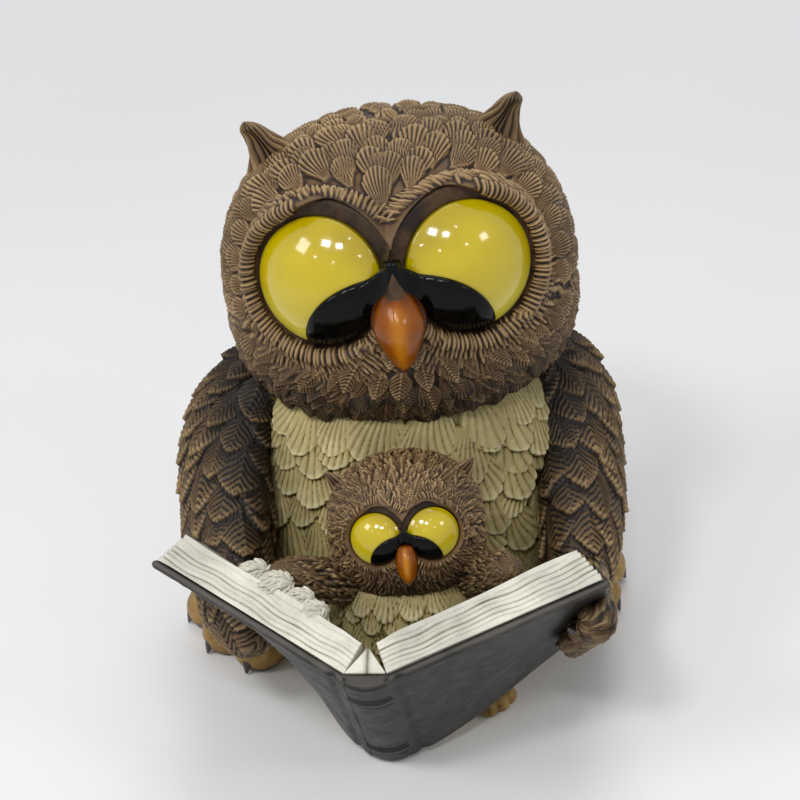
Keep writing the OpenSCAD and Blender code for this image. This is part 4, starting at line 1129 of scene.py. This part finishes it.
def page_block(side):
    """A block of pages whose edges show its leaves as wavy lines, each leaf a little shorter."""
    c, q = box_skin((cells(150), cells(120), cells(84)))
    a, b, d = c.T
    flat = np.stack([a * BOARD_W, b * BOOK_H, np.full(len(a), side * 20.0)], -1)
    wander = (0.022 * np.sin(a * 11 + b * 5 + side) + 0.016 * np.sin(a * 27 + side * 3)
              + 0.015 * np.sin(b * 19)) * 1.4
    level = np.clip(d + wander * smooth(0, 0.1, d) * smooth(1, 0.9, d), 0, 1) * LEAVES
    leaf = np.clip(np.floor(level), 0, LEAVES - 1)
    inside = np.abs(level - np.round(level))
    bold = 0.35 + 0.65 * np.abs(np.sin(np.round(level) * 5.1 + side))
    bold = bold * smooth(0.92, 0.8, d) if side == RIGHT else bold * smooth(0.72, 0.6, d)
    bold = bold * (0.75 + 0.5 * noise(np.stack([a * BOARD_W, np.round(level) * 9, b * BOOK_H], -1), 9, 16))
    cut = bold * np.exp(-(inside / 0.11) ** 2) * smooth(0.02, 0.06, d) * smooth(0.98, 0.94, d)
    ragged = np.sin(leaf * 2.4 + side) * 0.35
    ripple = 0.22 * noise(np.stack([a * BOARD_W, leaf * 9, b * BOOK_H], -1), 5, 15)
    top = 1 + (PROUD - 0.25 + ragged * 0.6 + ripple - 0.55 * cut) / BOOK_H
    low = (0.6 + 0.4 * cut) / BOOK_H
    fore = 0.982 - (0.42 * leaf + 0.25 * ragged + ripple * 1.2 + 0.5 * cut) / BOARD_W
    t = 0.002 + 0.012 * d + (fore - 0.002 - 0.012 * d) * a
    v = low + (top - low) * b
    w = 0.15 + (PAGES_T - 0.15) * d
    wave = 0.32 * np.sin(a * 8 + side) * smooth(0, 0.3, a) + 0.25 * noise(flat, 12, 17)
    w = w + (wave - 0.45 * smooth(0.12, 0.0, a)) * d ** 2
    p = book_point(side, t, v, w)
    face = smooth(0.985, 1.0, d) * smooth(1.0, 0.985, b) * smooth(1, 0.985, a)
    cavity = 0.80 - 0.62 * cut + 0.12 * noise(flat + leaf[:, None] * 3, 3.5, 18)
    # Painted shade on the page face: grey all over, darker towards the spine and less dark near its top.
    painted_shade = 0.34 + 0.10 * noise(flat, 7, 19) - 0.25 * smooth(0.3, 0, a) + 0.4 * smooth(0.9, 1.0, b)
    cavity = cavity * (1 - face) + painted_shade * face
    return p, outward(p, q), {"cavity": np.clip(cavity, 0, 1), "tip": np.zeros(len(a))}


def gutter():
    """White wedge between the two blocks of pages, with a crease down its middle."""
    c, q = box_skin((cells(40), cells(120), 8))
    a, b, d = c.T
    meet_x = (sind(OPEN[LEFT]) - sind(OPEN[RIGHT])) * PAGES_T / 2
    meet_y = cosd(OPEN[LEFT]) * PAGES_T - PROUD
    x = -SPINE_HALF + 0.25 + (2 * SPINE_HALF - 0.5) * a
    slope = np.where(x < meet_x, (x + SPINE_HALF) / (meet_x + SPINE_HALF),
                     (SPINE_HALF - x) / (SPINE_HALF - meet_x))
    y = 0.15 + d * np.maximum(meet_y * slope - 0.15 + 0.06 * np.sin(b * 23), 0.02)
    z = b * (BOOK_H + PROUD - 0.1)
    p = apply(AT_BOOK, np.stack([x, y, z], -1))
    crease = smooth(0.75, 1.0, slope)
    # Painted shade along the crease, deep in the fold between the pages.
    return p, outward(p, q), {"cavity": 0.8 - 0.6 * crease, "tip": np.zeros(len(a))}


show("book_case", join([board(LEFT), board(RIGHT), spine()]), "book_charcoal", "book_cover")
for side, word in WORD.items():
    show(f"{word}_page_block", page_block(side), "page_resin", f"{word}_pages")
show("book_gutter", gutter(), "page_resin", "spine_lining")

# ---------- Hands, feet and claws ----------

FINGER_R, TOE_R, TOE_L = 2.3, 6.8, 31
PALM = {LEFT: (0.04, 0.97), RIGHT: (0.46, 0.95)}
FINGERS = {LEFT: [(0.3, 0.92), (0.2, 0.82), (0.08, 0.75)],
           RIGHT: [(0.62, 0.84), (0.44, 0.80), (0.27, 0.84)]}
WRIST = {LEFT: np.array([-47.0, -30, 24]), RIGHT: np.array([37.0, -38, 32])}


def finger_point(side, place, lift=0.0):
    return book_point(side, place[1], place[0], -BOARD_T - FINGER_R - 0.55 - lift)


def ruffled(p, q, ahead, width, length, lift, count, seed):
    """A limb's surface covered with small overlapping strokes that run one way along it."""
    skin = Skin(p, q)
    local = np.random.default_rng(seed)
    ahead = np.asarray(ahead, float)
    for k in local.integers(0, len(p), count):
        n = skin.n[k]
        along = flattened(ahead - n * (ahead @ n) + local.normal(0, 0.22, 3), n)
        skin.stamp(skin.p[k], along, n, length * local.uniform(0.7, 1.3), width * local.uniform(0.8, 1.2),
                   lift * local.uniform(0.7, 1.3), "stroke", local.uniform(0, 1))
    return skin.done(None, 0.3)


def hand(side, seed):
    """Palm and finger feathers that press on the outer face of a board."""
    root = finger_point(side, PALM[side])
    if side == LEFT:
        line, radii = [WRIST[side], (WRIST[side] + root) / 2, root], [4.8, 4.1, 3.3]
    else:
        line = [WRIST[side]] + [finger_point(side, place) for place in
                                ((0.74, 0.93), (0.5, 0.89), (0.28, 0.83))]
        radii = [4.6, 3.7, 3.2, 2.2]
    p, q = limb(line, radii, cells(90), cells(110))
    parts = [ruffled(p, q, line[-1] - line[0], 1.9, 6.0, 0.8, 420, seed)]
    for k, place in enumerate(FINGERS[side]):
        tip = finger_point(side, place)
        middle = (root + tip) / 2 + unit(root + tip - 2 * finger_point(side, place, -3)) * 0.5
        p, q = limb([root, middle, tip], [2.9, 2.6, 2.0], cells(64), cells(60))
        parts.append(ruffled(p, q, tip - root, 2.2, 6.0, 0.55, 90, seed + k))
    return join(parts)


def claw(matrix, stations):
    """Pointed claw, worn paler towards its tip."""
    p, q, u, _ = tube(stations, cells(50, 8), cells(40, 12))
    cavity = np.clip(0.35 + 0.5 * (u / u.max()) ** 2 + 0.12 * noise(p, 1.2, 2), 0, 1)
    p = apply(matrix, p)
    return p, outward(p, q), {"cavity": cavity}


def towards(a, b):
    """Frame at a whose +Z looks towards b."""
    d = b - a
    m = move(*a) @ turn("z", math.degrees(math.atan2(d[1], d[0])))
    return m @ turn("y", math.degrees(math.acos(d[2] / np.linalg.norm(d))))


def finger_claws(side):
    """Claws that run on from the fingers' tips towards the board."""
    parts = []
    for f in FINGERS[side]:
        a = finger_point(side, f)
        g = [f[k] + (f[k] - PALM[side][k]) * 0.4 for k in range(2)]
        b = finger_point(side, g, -FINGER_R * 0.5)
        length = np.linalg.norm(b - a)
        rings = [[0, 0, z, FINGER_R * r, FINGER_R * r] for z, r in
                 ((-1, .5), (length * .25, .66), (length * .6, .5), (length, .1))]
        parts.append(claw(towards(a, b), rings))
    return join(parts)


TOE_ANGLES, TOE_RADII = (4, 30, 54), (8.4, 8.2, 7.6, 7.9, 6.6)
CLAW_L, CLAW_R = 5.8, TOE_R * 0.36
HEEL = {LEFT: 26, RIGHT: 22}


def toe_point(x, angle, along, z):
    return np.array([x + along * cosd(angle), -along * sind(angle), z])


def toe(x, angle, k):
    """One plump toe with wrinkles across it and two folds."""
    line = [toe_point(x, angle, along * TOE_L, high * TOE_R) for along, high in
            ((0, .9), (.28, 1.0), (.5, .9), (.68, .97), (.87, .74))]
    p, q = limb(line, TOE_RADII, cells(110), cells(120))
    d = (p - line[0]) @ unit(line[-1] - line[0])
    n = normals(p, q)
    upper = smooth(-0.2, 0.6, n[:, 2])
    wrinkle = (1 - np.abs(np.cos(math.pi * (d + noise(p, 4, 30 + k) * 0.8) / 3.1)) ** 0.5) * upper
    fold = (np.exp(-((d - TOE_L * 0.5) / 1.3) ** 2) + np.exp(-((d - TOE_L * 0.78) / 1.2) ** 2)) * upper
    cavity = 0.62 - 0.42 * wrinkle - 0.5 * fold + 0.16 * noise(p, 3, 32)
    p = p + n * (-0.34 * wrinkle - 0.75 * fold + 0.12 * noise(p, 1.3, 31))[:, None]
    p[:, 2] = np.maximum(p[:, 2], 0.05)
    # Painted shade where the toes meet the floor: darker within 5 mm of it.
    cavity = cavity - 0.35 * smooth(5, 0, p[:, 2])
    return p, q, {"cavity": np.clip(cavity, 0, 1), "tip": smooth(0, TOE_L, d) * 0.7}


def toe_claw(x, angle):
    """Claw that bends down from a toe's end."""
    at = move(*toe_point(x, angle, TOE_L - TOE_R * 0.1, TOE_R * 0.85)) @ turn("z", -angle)
    rings = [[0, -CLAW_L * bend, CLAW_L * z, CLAW_R * wide, CLAW_R * deep] for bend, z, wide, deep in
             ((0, -.35, .8, .75), (0, 0, 1, .9), (.04, .35, .85, .8), (.16, .7, .5, .5), (.36, 1, .1, .1))]
    return claw(at @ turn("y", 128) @ turn("z", 90), rings)


def foot(side):
    """Three toes fanned from one heel, and their claws."""
    x = HEEL[side]
    both = []
    for parts in ([toe(x, angle, k) for k, angle in enumerate(TOE_ANGLES)],
                  [toe_claw(x, angle) for angle in TOE_ANGLES]):
        p, q, values = on_floor(join(parts), 0.05)
        both.append((p * [side, 1, 1], q if side == RIGHT else q[:, ::-1], values))
    return both


for side, word in WORD.items():
    show(f"{word}_hand", hand(side, 60 + side), "wing_resin")
    show(f"{word}_finger_claws", finger_claws(side), "claw_black", f"{word}_wing_claws")
    toes, claws = foot(side)
    show(f"{word}_toes", toes, "foot_ochre", f"{word}_foot")
    show(f"{word}_toe_claws", claws, "claw_black", f"{word}_claws")

# ---------- Small owl ----------

BABY_H, BABY_W = 51.8, 36
REACH = {LEFT: 0.52, RIGHT: 0.66}


def baby_body():
    """Cream body whose lower part lies back under the book."""
    rings = [[0, 9 * max(0, 0.5 - z) / 0.5, BABY_H * z, BABY_W / 2 * r, BABY_W * 0.48 * r] for z, r in
             ((0, .62), (.15, .86), (.45, 1), (.75, .92), (1, .6))]
    plan = feather_rows(12, 3.6, 0.26, (-180, 180), (6.4, 8.0), 1.2, ("shell",), 5)
    return on_floor(plumage(rings, 120, 270, plan, 71).done(AT_BABY, 0.34))


def baby_wing(side):
    """Ruffled wing from the small owl's shoulder to the book's page."""
    tip = book_point(side, REACH[side], 0.9, PAGES_T + 3.4)
    shoulder = np.array([side * 10.8 - 6, -55, 42.0])
    length = np.linalg.norm(shoulder - tip)
    rings = [[0, 0, length * z, 4.4 * r, 5 * r] for z, r in
             ((-.06, .2), (.05, .55), (.2, .85), (.5, 1), (.8, .9), (1, .6))]
    p, q, _, _ = tube(rings, cells(110, 10), cells(150, 20))
    p, q, values = ruffled(p, q, (0, 0, -1), 1.15, 4.0, 0.9, 1300, 80 + side)
    return apply(towards(tip, shoulder), p), q, values


def paint_patch():
    """Lumps of page paint that ran over beside the small owl's left wing."""
    parts = []
    for k, (across, up, size) in enumerate([(0.60, 0.93, 2.6), (0.48, 0.96, 3.0), (0.36, 0.95, 2.8),
                                            (0.27, 0.97, 2.2)]):
        p, q = cube_ball(cells(34, 8))
        p = p * [size * 1.3, size * 0.9, size * 0.9] + book_point(LEFT, across, up, PAGES_T + 0.8)
        parts.append(ruffled(p, q, (-0.8, 0.3, -0.5), 1.0, 2.6, 0.8, 160, 90 + k))
    return join(parts)


def baby_toes():
    """Six small toes, most of them hidden below the book."""
    parts = []
    for side in (LEFT, RIGHT):
        for k in (-1, 0, 1):
            at = AT_BABY @ move(side * 10.8 + 4, 8, 3.2) @ turn("z", side * 40 + k * 22)
            line = apply(at, np.array([[0, 0, 0], [0, -5.3, 0], [0, -8.8, -0.8]]))
            p, q = limb(line, [4, 3.6, 2.4], cells(60), cells(50))
            p, q, _ = on_floor((p, q, {}), 0.05)
            parts.append((p, q, {"cavity": 0.5 + 0.3 * noise(p, 1.6, 3)}))
    return join(parts)


show("baby_head_plumage", head_skin(BABY, BABY_FANS, BABY_FUR, 15), "brown_resin", "baby_head")
show("baby_body_plumage", baby_body(), "cream_resin", "baby_body")
for side, word in WORD.items():
    show(f"baby_{word}_wing_plumage", baby_wing(side), "wing_resin", f"baby_{word}_wing")
    show(f"baby_{word}_ear_tuft", baby_ear(side), "brown_resin")
show("page_paint_patch", paint_patch(), "page_resin")
show("baby_toes", baby_toes(), "foot_ochre", "baby_feet")

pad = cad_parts["base_pad"]
pad.data.materials.clear()
pad.data.materials.append(felt())


# ---------- Stage ----------

SUBJECT = (0, 0, 0.07)


def lamp(name, at, size, power):
    """Soft rectangular lamp that looks at the figurine."""
    data = bpy.data.lights.new(name, "AREA")
    data.shape = "RECTANGLE"
    data.size, data.size_y = size
    data.energy = power
    obj = bpy.data.objects.new(name, data)
    obj.location = at
    obj.rotation_euler = (Vector(SUBJECT) - Vector(at)).to_track_quat("-Z", "Y").to_euler()
    bpy.context.scene.collection.objects.link(obj)


def floor(half=3, solid=0.32, gone=0.8):
    """Pale floor that keeps the shadow and fades into the background some way off."""
    data = bpy.data.meshes.new("floor")
    corners = [(-half, -half, 0), (half, -half, 0), (half, half, 0), (-half, half, 0)]
    data.from_pydata(corners, [], [(0, 1, 2, 3)])
    obj = bpy.data.objects.new("floor", data)
    bpy.context.scene.collection.objects.link(obj)
    n = Nodes("floor paint")
    span = n.add("VectorMath")
    span.operation = "LENGTH"
    n.link(n.where, span.inputs[0])
    n.set(Base_Color=n.ramp(n.grain(3, 2), [(0.3, 0.88), (0.7, 0.92)]), Roughness=0.7,
          Alpha=n.ramp(span.outputs["Value"], [(solid, 1.0), (gone, 0.0)]))
    data.materials.append(n.m)


def studio_world():
    """Soft even light, and a pale background for what the camera and mirrors see."""
    world = bpy.data.worlds.new("studio")
    bpy.context.scene.world = world
    world.use_nodes = True
    nodes, link = world.node_tree.nodes, world.node_tree.links.new
    soft, pale = nodes["Background"], nodes.new("ShaderNodeBackground")
    for shade, colour, strength in ((soft, (0.95, 0.97, 1.0, 1), 0.36), (pale, (0.97, 0.98, 1.0, 1), 0.86)):
        shade.inputs["Color"].default_value = colour
        shade.inputs["Strength"].default_value = strength
    rays = nodes.new("ShaderNodeLightPath")
    seen = rays.outputs["Is Camera Ray"]
    for kind in ("Is Glossy Ray", "Is Transmission Ray"):
        either = nodes.new("ShaderNodeMath")
        either.use_clamp = True
        link(seen, either.inputs[0])
        link(rays.outputs[kind], either.inputs[1])
        seen = either.outputs[0]
    choose = nodes.new("ShaderNodeMixShader")
    for k, output in enumerate((seen, soft.outputs[0], pale.outputs[0])):
        link(output, choose.inputs[k])
    link(choose.outputs[0], nodes["World Output"].inputs["Surface"])


def photo_camera(phi=30, psi=5, roll=3, distance=500, target=(-3, -20, 62)):
    """Camera that looks down on the owl's face from a little to its right."""
    back = np.array([-sind(psi) * cosd(phi), -cosd(psi) * cosd(phi), sind(phi)])
    right = unit(np.cross(-back, [0, 0, 1.0]))
    up = np.cross(right, -back)
    m = np.eye(4)
    m[:3, 0] = cosd(roll) * right - sind(roll) * up
    m[:3, 1] = sind(roll) * right + cosd(roll) * up
    m[:3, 2] = back
    m[:3, 3] = (np.array(target) + distance * back) * MM
    data = bpy.data.cameras.new("camera")
    data.lens, data.sensor_width = 94.05, 36
    data.shift_x, data.shift_y = -0.0025, 0.0375
    obj = bpy.data.objects.new("camera", data)
    obj.matrix_world = Matrix(m.tolist())
    bpy.context.scene.collection.objects.link(obj)
    bpy.context.scene.camera = obj


floor()
studio_world()
lamp("key", (-0.42, -0.62, 0.98), (0.20, 0.16), 3.3)
lamp("second key", (-0.12, -0.80, 1.0), (0.16, 0.12), 2.2)
lamp("side", (-0.85, -0.30, 0.75), (0.3, 0.3), 2.2)
lamp("fill", (0.75, -0.6, 0.7), (0.2, 0.16), 0.9)
for k, at in enumerate([(-0.62, -0.62, 0.62), (0.15, -0.62, 1.05), (0.36, -0.9, 0.7), (-0.3, -0.95, 0.62)]):
    lamp(f"glint {k}", at, (0.05, 0.035), 0.14)
lamp("top", (0.1, 0.25, 1.0), (0.5, 0.5), 2.3)
photo_camera()
bpy.context.scene.view_settings.view_transform = "Standard"
